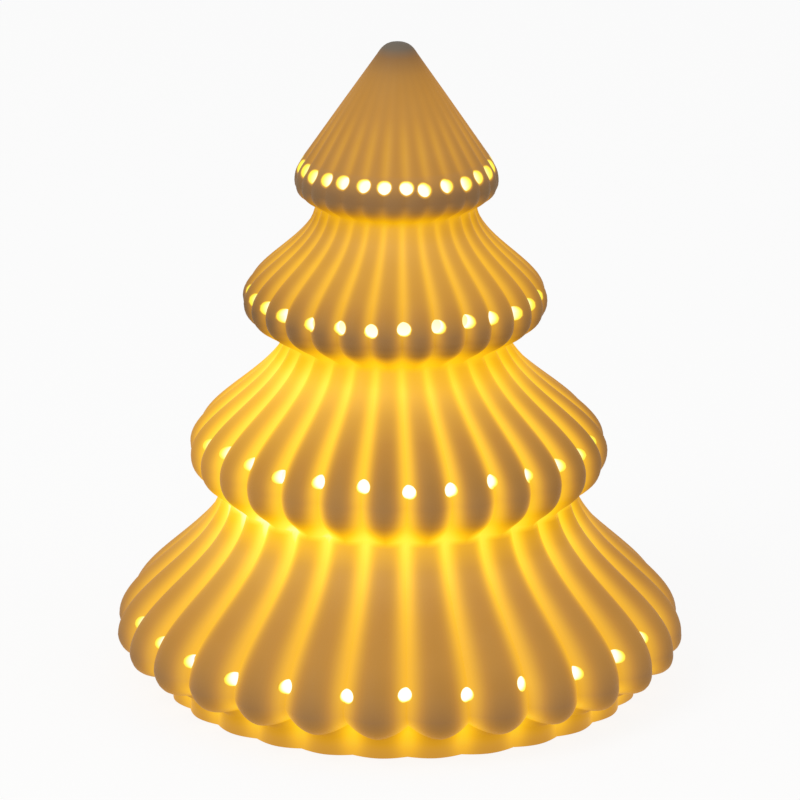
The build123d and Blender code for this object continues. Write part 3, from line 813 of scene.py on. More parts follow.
@dataclass(frozen=True)
class LitPorcelain(Coating):
    """Bisque porcelain lit from inside: a colour painted dim, with painted shade, and the glow that comes
    through its walls.

    The glow attribute runs from 0, unlit, to about 1.6, a bright wall. The bare attribute is a painted
    shade scale, from 0 in the crevices, the darkest painted shade, to 1 on the unlit tip, the lightest. The
    hole_gap attribute is the distance from a hole's edge in millimetres. On the inside it stands for the
    inside's own glow, and the brightest is at -1.
    """

    name: str = "lit_porcelain"
    # Painted shade: all three colours are painted darker than the porcelain is, as in a dim room. The
    # first, darker and warmer, is painted shade in the crevices; the tip's, lighter and greyer, has none.
    crevice_shade_colour: Colour = (0.100, 0.066, 0.012)
    wall: Colour = (0.127, 0.108, 0.070)
    tip: Colour = (0.178, 0.158, 0.128)
    wall_bare: float = 0.5
    shine: float = 0.12
    rim_glow: float = 1.5
    inmost_gap: float = -1.0
    far_gap: float = 2.0
    halo: Pairs = ((0.12, 0.95), (0.3, 0.55), (0.7, 0.25), (1.5, 0.0))
    glow_colours: ColourStops = (
        (0.0, (0.0, 0.0, 0.0)),
        (0.165, (0.165, 0.056, 0.0)),
        (0.44, (0.44, 0.175, 0.0)),
        (0.86, (0.86, 0.42, 0.0)),
        (1.1, (0.95, 0.57, 0.005)),
        (1.3, (0.95, 0.70, 0.02)),
        (1.6, (0.95, 0.90, 0.06)),
        (1.85, (1.0, 0.96, 0.45)),
        (2.1, (1.0, 1.0, 0.85)),
        (2.4, (1.0, 1.0, 0.94)),
    )

    def top_glow(self) -> float:
        """The brightest glow, that of the inside beside the lamps."""
        return self.glow_colours[-1][0]

    def inside_gap(self, glow: float) -> float:
        """The hole_gap that stands for a glow of the inside."""
        return self.inmost_gap * (glow - self.rim_glow) / (self.top_glow() - self.rim_glow)

    def paint(self, surface: Surface) -> None:
        """Paints the porcelain's dim colour with its painted shade, and the brighter of its walls' glow and
        its holes' light.

        Args:
            surface: The surface.
        """
        desk = surface.desk
        # Painted shade: the bare attribute darkens the colour into the crevices and lightens it towards the
        # tip.
        colours = ((0.0, self.crevice_shade_colour), (self.wall_bare, self.wall), (1.0, self.tip))
        desk.link(desk.ramp(colours, desk.attribute("bare")), surface.mottle(PORCELAIN_MOTTLE))
        surface.grain(PORCELAIN_GRAIN)
        top = self.top_glow()
        span = self.far_gap - self.inmost_gap
        rings = ((self.inmost_gap, top), (0.0, self.rim_glow), *self.halo)
        ring_stops = tuple(((gap - self.inmost_gap) / span, (glow / top,) * 3) for gap, glow in rings)
        gap = desk.share(desk.attribute("hole_gap"), self.inmost_gap, self.far_gap)
        wall_glow = desk.share(desk.attribute("glow"), 0.0, top)
        glow = desk.larger(wall_glow, desk.ramp(ring_stops, gap))
        glow_stops = tuple((place / top, colour) for place, colour in self.glow_colours)
        desk.link(desk.ramp(glow_stops, glow), surface.shader.inputs["Emission Color"])
        surface.hold(Emission_Strength=1.0, Specular_IOR_Level=self.shine)


@dataclass
class PorcelainTree:
    """The cast porcelain shell: four ribbed tiers on a foot, with a hole in every groove of every tier.

    Sizes are in metres and turns in radians, but the twist is in degrees.
    """

    nodes: tuple[str, ...] = ("bottom_tier", "third_tier", "second_tier", "top_tier")
    body: str = "tree"
    slot: str = "porcelain"
    name: str = "porcelain_shell"
    finish: LitPorcelain = LitPorcelain()
    seed: int = 28
    rib_count: int = 28
    steps_per_rib: int = 14
    groove_power: float = 1.75
    first_groove: float = math.radians(-87.6)
    start_size: float = 0.001
    weld_gap: float = 0.000002
    smooth_angle: float = math.radians(60)
    hole_radius: float = 0.00205
    hole_length: float = 0.014
    hole_sides: int = 24
    rib_slip: float = math.radians(0.35)
    hole_slip: float = math.radians(0.6)
    hole_rise: float = 0.0004
    least_arm: float = 0.002
    side_power: float = 1.5
    foot: Spot = Spot(0.0739, 0.0, 0.0018)
    foot_top: Spot = Spot(0.0745, 0.0056, 0.0022, 0.0024)
    underside: Spot = Spot(0.0788, 0.0085, 0.0052, 0.0030)
    bottom_belly: Spot = Spot(0.0872, 0.0161, 0.0052)
    third_neck: Spot = Spot(0.0543, 0.0604, 0.0028)
    third_belly: Spot = Spot(0.0639, 0.0736, 0.0040)
    second_neck: Spot = Spot(0.0342, 0.1084, 0.0018)
    second_belly: Spot = Spot(0.0462, 0.1206, 0.0026)
    top_neck: Spot = Spot(0.0243, 0.1501, 0.0008)
    top_belly: Spot = Spot(0.0307, 0.1571, 0.0009)
    cone_end: Spot = Spot(0.0273, 0.1654, 0.0009)
    mid_cone: Spot = Spot(0.01685, 0.18055, 0.00015)
    tip: Spot = Spot(0.0063, 0.1957)
    pole: Spot = Spot(0.0, 0.1997)
    foot_ring: Spot = Spot(0.0628, 0.0)
    ledge_edge: Spot = Spot(0.0628, 0.0090)
    hollow_foot: Spot = Spot(0.0678, 0.0090)
    hollow_bottom: Spot = Spot(0.0790, 0.0194)
    hollow_third_neck: Spot = Spot(0.0490, 0.0606)
    hollow_third: Spot = Spot(0.0569, 0.0736)
    hollow_second_neck: Spot = Spot(0.0288, 0.1088)
    hollow_second: Spot = Spot(0.0406, 0.1206)
    hollow_top_neck: Spot = Spot(0.0198, 0.1498)
    hollow_top: Spot = Spot(0.0265, 0.1566)
    hollow_pole: Spot = Spot(0.0, 0.1880)
    twist: Drift = Drift((
        (0.0, -0.8), (0.080, 0.6), (0.123, 0.9), (0.150, 2.4), (0.162, 3.8), (0.200, 3.8),
    ))
    lean: Drift = Drift((
        (0.0, 0.0), (0.020, 0.0001), (third_belly.height, -0.0003), (second_belly.height, -0.0015),
        (0.1562, -0.0011), (0.2000, -0.0009),
    ))
    foot_slip: Drift = Drift(((0.0, 0.0010), (underside.height, 0.0010), (bottom_belly.height, 0.0)))
    sag: Drift = Drift((
        (0.0, 0.0), (foot_top.height, 0.0015), (underside.height, 0.0035), (bottom_belly.height, 0.0045),
        (0.035, 0.003), (0.058, 0.0),
    ))
    left_light: Drift = Drift((
        (0.0, 0.0), (0.017, 0.0), (0.035, 0.07), (0.052, 0.25), (0.060, 0.48), (0.068, 0.12), (0.090, 0.37),
        (0.101, 0.31), (0.107, 0.16), (0.120, -0.14), (0.136, 0.02), (0.147, -0.22), (0.152, -0.10),
        (0.165, -0.10), (0.185, 0.0),
    ))
    right_light: Drift = Drift((
        (0.0, -0.08), (0.017, -0.02), (0.035, -0.05), (0.051, 0.02), (0.0565, -0.11), (0.0615, -0.22),
        (0.070, -0.08), (0.090, 0.0), (0.103, -0.08), (0.120, -0.05), (0.138, -0.03), (0.1475, -0.24),
        (0.152, -0.10), (0.165, -0.12), (0.185, 0.0),
    ))
    side_shade: Drift = Drift((
        (0.035, 0.0), (0.0490, 0.06), (0.0560, 0.45), (third_neck.height, 0.90), (0.0680, 0.2),
        (0.090, 0.04), (0.0985, 0.10), (0.1040, 0.55), (second_neck.height, 0.90), (0.1160, 0.2),
        (0.132, 0.08), (0.1425, 0.20), (top_neck.height, 0.70), (0.1560, 0.0),
    ))
    hole_rings: tuple[HoleRing, ...] = (
        HoleRing(
            height=0.0228, radius=0.0805, tilt=math.radians(8),
            front_slips=(-0.5, 0.0, 0.5, -0.5, -0.5, -1.5, 0.0),
            front_rises=(-1.2, -0.2, -0.9, 0.0, -0.7, 0.6, -0.3),
        ),
        HoleRing(
            height=0.0780, radius=0.0580, tilt=math.radians(8),
            front_slips=(0.0, 0.3, -0.5, 0.0, 0.5, 0.5, -0.5, -1.0, -1.0, -0.1, -0.2),
            front_rises=(1.8, 1.8, 0.8, 1.3, 1.2, -0.1, 0.0, 1.0, 0.6, 0.3, -0.1),
        ),
        HoleRing(
            height=0.1230, radius=0.0420, tilt=math.radians(8),
            front_slips=(1.0, 1.5, 1.0, 0.5, 1.0, 0.5, -0.5),
            front_rises=(-0.7, -0.4, -0.7, 0.0, 0.3, 0.8, 0.4),
        ),
        HoleRing(
            height=0.1613, radius=0.0270, tilt=math.radians(30),
            front_slips=(-1.0, 0.5, 0.0, 0.0, -2.5, -1.5, 0.0),
            front_rises=(0.4, 0.1, -0.1, -0.2, -1.1, -0.5, -0.9),
        ),
    )
    # Painted shade: the tucks' bare stops fall to 0, the darkest painted shade, at each neck; the slopes'
    # stay near the wall's level.
    tuck_painted_shade: Stops = (0.55, 0.42, 0.18, 0.0, 0.0)
    slope_bare: Stops = (0.45, 0.60, 0.44, 0.38, 0.38, 0.52)
    lobe_flank: Stops = (0.42, 0.50, 0.65, 0.90)
    rib_slips: list[float] = field(default_factory=list)
    holes: list[Hole] = field(default_factory=list)

    def outside(self) -> list[Stretch]:
        """Lists the profile's stretches from the tip down the outside and under the foot.

        Returns:
            The stretches, in the order that they are drawn in.
        """
        # Painted shade: the bare stops darken each tuck, the lip and the top of the foot, and leave the tip
        # unshaded.
        return [
            Stretch(
                self.pole, self.tip, Bend.TIP, steps=8,
                crest_glow=(0.0, 0.03, 0.19), groove_glow=(0.0, 0.03, 0.19), bare=(1.0, 0.9, 0.45),
            ),
            Stretch(
                self.tip, self.mid_cone, Bend.STRAIGHT, steps=7,
                crest_glow=(0.19, 0.35, 0.39, 0.41), groove_glow=(0.19, 0.36, 0.41, 0.45),
                bare=(0.45, 0.38, 0.38), flank=(0.7, 0.7),
            ),
            Stretch(
                self.mid_cone, self.cone_end, Bend.STRAIGHT, steps=8,
                crest_glow=(0.41, 0.42, 0.42, 0.41), groove_glow=(0.45, 0.54, 0.59, 0.58),
                bare=(0.38, 0.38, 0.40), flank=(0.7, 0.5),
            ),
            Stretch(
                self.cone_end, self.top_belly, Bend.SHOULDER, steps=10,
                crest_glow=(0.41, 0.39, 0.36, 0.31, 0.25, 0.20, 0.19),
                groove_glow=(0.56, 0.52, 0.44, 0.35, 0.28, 0.24, 0.21),
            ),
            Stretch(
                self.top_belly, self.top_neck, Bend.TUCK, steps=10,
                crest_glow=(0.19, 0.21, 0.35, 0.52, 0.64, 0.72, 0.78),
                groove_glow=(0.21, 0.34, 0.50, 0.61, 0.72, 0.82, 0.94),
                bare=self.tuck_painted_shade, flank=self.lobe_flank,
            ),
            Stretch(
                self.top_neck, self.second_belly, Bend.STEEP_SLOPE, steps=20,
                crest_glow=(0.80, 0.68, 0.60, 0.55, 0.49, 0.37, 0.22),
                groove_glow=(1.00, 0.97, 0.94, 0.91, 0.88, 0.80, 0.68),
                bare=self.slope_bare,
            ),
            Stretch(
                self.second_belly, self.second_neck, Bend.TUCK, steps=12,
                crest_glow=(0.22, 0.19, 0.25, 0.54, 0.78, 0.88, 0.94),
                groove_glow=(0.66, 0.54, 0.66, 0.90, 1.04, 1.12, 1.18),
                bare=self.tuck_painted_shade, flank=self.lobe_flank,
            ),
            Stretch(
                self.second_neck, self.third_belly, Bend.WIDE_SLOPE, steps=26,
                crest_glow=(0.93, 0.87, 0.60, 0.44, 0.35, 0.28, 0.25),
                groove_glow=(1.20, 1.38, 1.20, 1.13, 1.10, 1.10, 0.98),
                bare=self.slope_bare,
            ),
            Stretch(
                self.third_belly, self.third_neck, Bend.TUCK, steps=12,
                crest_glow=(0.25, 0.27, 0.37, 0.56, 0.74, 0.84, 0.88),
                groove_glow=(1.00, 1.06, 1.14, 1.26, 1.40, 1.50, 1.58),
                bare=self.tuck_painted_shade, flank=self.lobe_flank,
            ),
            Stretch(
                self.third_neck, self.bottom_belly, Bend.SLOPE, steps=32,
                crest_glow=(0.86, 0.52, 0.44, 0.41, 0.39, 0.32, 0.22),
                groove_glow=(1.58, 1.28, 1.06, 0.94, 0.88, 0.88, 0.76),
                bare=self.slope_bare,
            ),
            Stretch(
                self.bottom_belly, self.underside, Bend.LIP, steps=14,
                crest_glow=(0.22, 0.26, 0.35, 0.43, 0.46, 0.48, 0.50),
                groove_glow=(0.76, 0.86, 1.00, 1.06, 1.10, 1.12, 1.16),
                bare=(0.5, 0.35, 0.1, 0.0),
            ),
            Stretch(
                self.underside, self.foot_top, Bend.STRAIGHT, steps=5,
                crest_glow=(0.42, 0.50, 0.58), groove_glow=(1.10, 1.18, 1.20), bare=(0.0, 0.0),
            ),
            Stretch(
                self.foot_top, self.foot, Bend.STRAIGHT, steps=6,
                crest_glow=(0.60, 0.60, 0.57, 0.54, 0.52), groove_glow=(1.18, 1.12, 1.00, 0.86, 0.76),
                bare=(0.0, 0.3, 0.4),
            ),
            Stretch(
                self.foot, self.foot_ring, Bend.STRAIGHT, steps=4,
                crest_glow=(0.45, 0.30), groove_glow=(0.60, 0.30),
            ),
            Stretch(
                self.foot_ring, self.ledge_edge, Bend.STRAIGHT, steps=3,
                crest_glow=(0.30, 0.50), groove_glow=(0.30, 0.50),
            ),
        ]

    def hollow(self) -> list[Stretch]:
        """Lists the profile's stretches from the ledge inside the foot up to the top of the hollow.

        Returns:
            The stretches, in the order that they are drawn in.
        """
        runs = (
            (self.ledge_edge, self.hollow_foot, Bend.STRAIGHT, 2, (1.9, 2.1), False),
            (self.hollow_foot, self.hollow_bottom, Bend.STRAIGHT, 4, (2.1, 2.4), False),
            (self.hollow_third_neck, self.hollow_bottom, Bend.SLOPE, 10, (1.75, 2.2, 2.4, 2.4), True),
            (self.hollow_third, self.hollow_third_neck, Bend.TUCK, 6, (2.3, 2.0, 1.75), True),
            (self.hollow_second_neck, self.hollow_third, Bend.WIDE_SLOPE, 10, (1.8, 2.2, 2.4, 2.4), True),
            (self.hollow_second, self.hollow_second_neck, Bend.TUCK, 6, (2.3, 2.0, 1.8), True),
            (self.hollow_top_neck, self.hollow_second, Bend.SLOPE, 8, (2.2, 2.4, 2.4), True),
            (self.hollow_top, self.hollow_top_neck, Bend.TUCK, 5, (2.3, 2.2), True),
            (self.hollow_top, self.hollow_pole, Bend.DOME, 7, (2.3, 2.0, 1.6, 1.3), False),
        )
        return [
            Stretch(start, end, bend, steps, crest_glow=glow, skin=Skin.INSIDE, climbs=climbs)
            for start, end, bend, steps, glow, climbs in runs
        ]

    def rows(self) -> list[Row]:
        """Makes the rings of the shell.

        Returns:
            The rings, in the order of the profile. A ring where two stretches meet is made once.
        """
        rows: list[Row] = []
        for stretch in self.outside() + self.hollow():
            rows += [stretch.row(step) for step in range(1 if rows else 0, stretch.steps + 1)]
        return rows

    def groove_turn(self, rib: int, height: float) -> float:
        """The angle of one groove at a height, with that rib's own small slip."""
        even_turn = self.first_groove + rib * math.tau / self.rib_count
        return even_turn + self.rib_slips[rib % self.rib_count] + math.radians(self.twist.at(height))

    def place(self, radius: float, turn: float, height: float) -> Vector:
        """A point of the leaning tree from its radius, angle and height."""
        return Vector((radius * math.cos(turn) + self.lean.at(height), radius * math.sin(turn), height))

    def slumped(self, place: Vector, row: Row) -> Vector:
        """Moves a point as the casting slumped in the kiln.

        Only the outside of the bottom tier did: its right side is lower, and its foot spread to the right.

        Args:
            place: The point.
            row: Its ring.

        Returns:
            Its new place.
        """
        if row.skin is Skin.INSIDE or row.crest.x <= self.foot_ring.radius:
            return place
        height = row.crest.y
        return place + Vector((self.foot_slip.at(height), 0.0, -self.sag.at(height) * place.x))

    def spin_profile(self, rows: list[Row]) -> Piece:
        """Draws the profile as a chain of points and spins it into a smooth shell.

        Args:
            rows: The rings of the shell.

        Returns:
            The piece.
        """
        deselect_all()
        bpy.ops.mesh.primitive_plane_add(size=self.start_size, enter_editmode=True)
        piece = bpy.context.object
        piece.name = self.name
        bpy.ops.mesh.merge(type="CENTER")
        spots = [row.drawn() for row in rows]
        bpy.ops.transform.translate(value=spots[0])
        for here, there in zip(spots, spots[1:]):
            bpy.ops.mesh.extrude_vertices_move(TRANSFORM_OT_translate={"value": there - here})
        bpy.ops.mesh.select_all(action="SELECT")
        bpy.ops.mesh.spin(
            steps=self.rib_count * self.steps_per_rib, angle=math.tau, center=(0, 0, 0), axis=(0, 0, 1),
        )
        bpy.ops.mesh.select_all(action="SELECT")
        bpy.ops.mesh.remove_doubles(threshold=self.weld_gap)
        bpy.ops.mesh.normals_make_consistent(inside=False)
        bpy.ops.object.mode_set(mode="OBJECT")
        return piece

    def press_ribs(self, piece: Piece, rows: list[Row]) -> list[tuple[Row, float]]:
        """Presses the grooves into the smooth shell, so that its lines of points run along the ribs.

        Args:
            piece: The smooth shell.
            rows: The rings of the shell.

        Returns:
            For each point its ring, and how near it is to a groove: 0 on a crest, 1 in a groove.
        """
        finder = make_finder([row.drawn() for row in rows])
        step_turn = math.tau / (self.rib_count * self.steps_per_rib)
        marks: list[tuple[Row, float]] = []
        for vertex in piece.data.vertices:
            radius = math.hypot(vertex.co.x, vertex.co.y)
            row = rows[finder.find((radius, 0.0, vertex.co.z))[1]]
            rib, step = divmod(round(math.atan2(vertex.co.y, vertex.co.x) / step_turn), self.steps_per_rib)
            share = step / self.steps_per_rib
            nearness = abs(1.0 - 2.0 * share)
            spot = row.crest.lerp(row.groove, nearness ** self.groove_power)
            left, right = self.groove_turn(rib, row.crest.y), self.groove_turn(rib + 1, row.crest.y)
            vertex.co = self.slumped(self.place(spot.x, left + (right - left) * share, spot.y), row)
            marks.append((row, nearness))
        return marks

    def set_holes(self, draw: random.Random) -> None:
        """Works out where each light hole is.

        Args:
            draw: The source of the small slips of the holes that the front doesn't show.
        """
        for ring in self.hole_rings:
            front = len(ring.front_slips) // 2
            slips = [draw.uniform(-self.hole_slip, self.hole_slip) for _ in range(self.rib_count)]
            rises = [draw.uniform(-self.hole_rise, self.hole_rise) for _ in range(self.rib_count)]
            for number, (degrees, rise) in enumerate(zip(ring.front_slips, ring.front_rises)):
                slips[number - front] = math.radians(degrees)
                rises[number - front] = rise / METRE_IN_MM
            flat, up = math.cos(ring.tilt), math.sin(ring.tilt)
            for rib, (slip, rise) in enumerate(zip(slips, rises)):
                turn = self.groove_turn(rib, ring.height) + slip
                way = Vector((math.cos(turn) * flat, math.sin(turn) * flat, up))
                self.holes.append(Hole(self.place(ring.radius, turn, ring.height + rise), way))

    def pierce(self, piece: Piece) -> None:
        """Cuts the light holes through the shell with one rod, copied to every hole.

        Args:
            piece: The ribbed shell.
        """
        deselect_all()
        bpy.ops.mesh.primitive_cylinder_add(
            vertices=self.hole_sides, radius=self.hole_radius, depth=self.hole_length,
        )
        rod = bpy.context.object
        rods = [copy_to(rod, hole.stand()) for hole in self.holes]
        bpy.data.objects.remove(rod, do_unlink=True)
        cut_away(piece, join_pieces(rods))

    def sideways(self, place: Vector) -> float:
        """How far to a side a place is: -1 on the left, 1 on the right, 0 at the front and the back."""
        across = place.x - self.lean.at(place.z)
        return across / max(math.hypot(across, place.y), self.least_arm)

    def glow(self, place: Vector, row: Row, nearness: float) -> float:
        """Works out the glow of a point, which differs on the left and the right of the lamps inside.

        Args:
            place: The point.
            row: Its ring.
            nearness: How near it is to a groove.

        Returns:
            Its glow, which is 0 on the inside, where the hole_gap gives the glow.
        """
        if row.skin is Skin.INSIDE:
            return 0.0
        side = self.sideways(place)
        light = self.left_light if side < 0 else self.right_light
        bright = math.exp(-(((1.0 - nearness) / row.flank) ** 2))
        even_glow = row.crest_glow + (row.groove_glow - row.crest_glow) * bright
        return max(0.0, even_glow + light.at(place.z) * abs(side) ** self.side_power)

    def painted_shade_scale(self, place: Vector, row: Row) -> float:
        """A point's place on the painted shade scale, lower, with more painted shade, beside the necks on
        the left and the right.
        """
        shade = self.side_shade.at(place.z) * abs(self.sideways(place)) ** self.side_power
        return max(0.0, row.bare - shade)

    def hole_gap(self, place: Vector, row: Row, hole: Hole) -> float:
        """Works out how far a point is from the edge of the nearest hole.

        Args:
            place: The point.
            row: Its ring.
            hole: The nearest hole.

        Returns:
            The gap in millimetres, or on the inside what stands for its glow.
        """
        if row.skin is Skin.INSIDE:
            return self.finish.inside_gap(row.crest_glow)
        gap = (hole.off_axis(place) - self.hole_radius) * METRE_IN_MM
        return min(max(gap, 0.0), self.finish.far_gap)

    def lay_glow(self, piece: Piece, places: list[Vector], marks: list[tuple[Row, float]]) -> None:
        """Writes each point's glow, its place on the painted shade scale and its gap to the edge of the
        nearest hole.

        Args:
            piece: The pierced shell.
            places: The points of the shell before it was pierced.
            marks: The ring and the nearness to a groove of each of those points.
        """
        finder = make_finder(places)
        mouths = make_finder([hole.middle for hole in self.holes])
        values: dict[str, list[float]] = {"glow": [], "bare": [], "hole_gap": []}
        for vertex in piece.data.vertices:
            row, nearness = marks[finder.find(vertex.co)[1]]
            hole = self.holes[mouths.find(vertex.co)[1]]
            values["glow"].append(self.glow(vertex.co, row, nearness))
            values["bare"].append(self.painted_shade_scale(vertex.co, row))
            values["hole_gap"].append(self.hole_gap(vertex.co, row, hole))
        for name, numbers in values.items():
            attribute = piece.data.attributes.new(name, "FLOAT", "POINT")
            attribute.data.foreach_set("value", numbers)

    def build(self, effects: SharedEffects) -> Piece:
        """Models the shell and dresses it.

        Args:
            effects: The shared node groups.

        Returns:
            The finished piece.
        """
        draw = random.Random(self.seed)
        self.rib_slips = [draw.uniform(-self.rib_slip, self.rib_slip) for _ in range(self.rib_count)]
        rows = self.rows()
        piece = self.spin_profile(rows)
        marks = self.press_ribs(piece, rows)
        places = [vertex.co.copy() for vertex in piece.data.vertices]
        self.set_holes(draw)
        self.pierce(piece)
        self.lay_glow(piece, places, marks)
        wear(piece, self.finish.make(effects))
        make_active(piece)
        bpy.ops.object.shade_smooth_by_angle(angle=self.smooth_angle)
        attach(piece, self.body)
        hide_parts(*self.nodes)
        return piece


@dataclass
class HousingScrews:
    """The four screws under the light module, with rounded heads and cross recesses."""

    node: str = "housing_screws"
    body: str = "light_module"
    slot: str = "screw_steel"
    name: str = "cross_head_screws"
    finish: Finish = metal("zinc_screw_steel", (0.60, 0.60, 0.60), 0.25, 0.42)
    head_radius: float = 0.0024
    head_height: float = 0.0012
    head_round: float = 0.0004
    round_steps: int = 3
    shank_radius: float = 0.0012
    recess_width: float = 0.0007
    recess_length: float = 0.0027
    recess_depth: float = 0.0007
    sides: int = 40
    facing: float = 0.9
    first_turn: float = 0.5
    next_turn: float = 1.0
    smooth_angle: float = math.radians(35)

    def pick_faces(self, screw: Piece, way: int) -> None:
        """Selects, in edit mode, only the faces that point up or down.

        Args:
            screw: The screw, in object mode.
            way: 1 for up, -1 for down.
        """
        bpy.ops.object.mode_set(mode="EDIT")
        bpy.ops.mesh.select_mode(type="FACE")
        bpy.ops.mesh.select_all(action="DESELECT")
        bpy.ops.object.mode_set(mode="OBJECT")
        for face in screw.data.polygons:
            face.select = face.normal.z * way > self.facing
        bpy.ops.object.mode_set(mode="EDIT")

    def one_screw(self, length: float) -> Piece:
        """Models a screw with its head's face at the origin, pointing up.

        Args:
            length: The screw's whole length.

        Returns:
            The screw.
        """
        deselect_all()
        bpy.ops.mesh.primitive_cylinder_add(
            vertices=self.sides, radius=self.head_radius, depth=self.head_height,
            location=(0, 0, self.head_height / 2),
        )
        screw = bpy.context.object
        apply_place()
        self.pick_faces(screw, 1)
        bpy.ops.mesh.inset(thickness=self.head_radius - self.shank_radius)
        shank = Vector((0, 0, length - self.head_height))
        bpy.ops.mesh.extrude_region_move(TRANSFORM_OT_translate={"value": shank})
        bpy.ops.object.mode_set(mode="OBJECT")
        self.pick_faces(screw, -1)
        bpy.ops.mesh.bevel(offset=self.head_round, segments=self.round_steps, affect="EDGES")
        bpy.ops.object.mode_set(mode="OBJECT")
        for turn in (0.0, math.pi / 2):
            bpy.ops.mesh.primitive_cube_add(size=1.0, rotation=(0, 0, turn))
            bar = bpy.context.object
            bar.scale = (self.recess_length, self.recess_width, 2 * self.recess_depth)
            apply_place()
            cut_away(screw, bar)
        return screw

    def build(self, effects: SharedEffects) -> Piece:
        """Models the screws where the frame has them and dresses them.

        Args:
            effects: The shared node groups.

        Returns:
            The finished piece.
        """
        low, high = (Vector(corner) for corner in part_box(self.node))
        screw = self.one_screw(high.z - low.z)
        middle = (low + high) / 2
        reach = (high - low) / 2 - Vector((self.head_radius, self.head_radius, 0))
        screws = []
        for number, (side, end) in enumerate(((-1, -1), (1, -1), (1, 1), (-1, 1))):
            spot = Vector((middle.x + side * reach.x, middle.y + end * reach.y, low.z))
            turn = Matrix.Rotation(self.first_turn + self.next_turn * number, 4, "Z")
            screws.append(copy_to(screw, Matrix.Translation(spot) @ turn))
        bpy.data.objects.remove(screw, do_unlink=True)
        piece = join_pieces(screws)
        piece.name = self.name
        wear(piece, self.finish.make(effects))
        bpy.ops.object.shade_smooth_by_angle(angle=self.smooth_angle)
        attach(piece, self.body)
        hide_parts(self.node)
        return piece


@dataclass
class LightModule:
    """The battery light under the tree: its CAD pieces, each with its own finish."""

    case: Colour = (0.78, 0.76, 0.71)
    opal_light: Colour = (1.0, 0.86, 0.58)
    lamp_light: Colour = (1.0, 0.80, 0.42)
    case_light: float = 0.4
    dome_light: float = 0.9
    contacts: tuple[str, ...] = (
        "contact_spring_1", "contact_spring_2", "contact_spring_3", "bridge_plate_1", "bridge_plate_2",
        "terminal_positive", "terminal_negative",
    )

    def finishes(self) -> list[tuple[Coating, tuple[str, ...]]]:
        """Lists the finishes.

        Returns:
            Each finish with the pieces that wear it.
        """
        lit_case = Finish(
            "lit_case_plastic", self.case, 0.38, 0.50,
            light=self.opal_light, light_strength=self.case_light,
        )
        opal = Finish(
            "opal_plastic", (0.90, 0.86, 0.78), 0.25, 0.35,
            light=self.opal_light, light_strength=self.dome_light,
        )
        epoxy = Finish(
            "lamp_epoxy", (0.95, 0.80, 0.46), 0.10, 0.18, light=self.lamp_light, light_strength=1.0,
        )
        return [
            (FloorPorcelain("floor_porcelain"), ("porcelain_floor",)),
            (Finish("case_plastic", self.case, 0.38, 0.50), ("base_plate",)),
            (lit_case, ("module_housing",)),
            (Finish("door_plastic", (0.76, 0.74, 0.69), 0.38, 0.50, mottle_scale=60.0), ("battery_door",)),
            (Finish("seal_silicone", (0.72, 0.72, 0.69), 0.30, 0.42), ("seal_ring",)),
            (opal, ("light_dome",)),
            (CellSleeve("cell_sleeve", 1.0), ("battery_1", "battery_3")),
            (CellSleeve("turned_cell_sleeve", -1.0), ("battery_2",)),
            (metal("contact_nickel", (0.72, 0.70, 0.66), 0.22, 0.38), self.contacts),
            (BoardMask("board_mask"), ("circuit_board",)),
            (epoxy, ("led_1", "led_2", "led_3", "led_4")),
            (Finish("chip_plastic", (0.03, 0.03, 0.033), 0.45, 0.60), ("timer_chip",)),
            (Finish("resistor_glaze", (0.05, 0.05, 0.055), 0.20, 0.35), ("resistors",)),
            (Finish("capacitor_sleeve", (0.04, 0.05, 0.16), 0.25, 0.38), ("capacitor",)),
            (metal("switch_tin", (0.66, 0.66, 0.64), 0.25, 0.42), ("switch_body",)),
            (Finish("knob_plastic", (0.035, 0.035, 0.038), 0.45, 0.60), ("switch_knob",)),
            (metal("board_screw_steel", (0.6, 0.6, 0.6), 0.25, 0.42), ("board_screws",)),
            (Finish("red_insulation", (0.45, 0.025, 0.02), 0.35, 0.50), ("wire_positive",)),
            (Finish("black_insulation", (0.025, 0.025, 0.027), 0.35, 0.50), ("wire_negative",)),
            (Finish("white_insulation", (0.74, 0.73, 0.69), 0.35, 0.50), ("switch_wires",)),
        ]

    def dress(self, effects: SharedEffects) -> None:
        """Gives every CAD piece its material.

        Args:
            effects: The shared node groups.
        """
        for finish, nodes in self.finishes():
            material = finish.make(effects)
            for node in nodes:
                wear(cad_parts[node], material)
                log.info("%s wears %s", node, material.name)


@dataclass(frozen=True)
class SoftLamp:
    """A large soft lamp of the studio."""

    name: str
    place: tuple[float, float, float]
    power: float


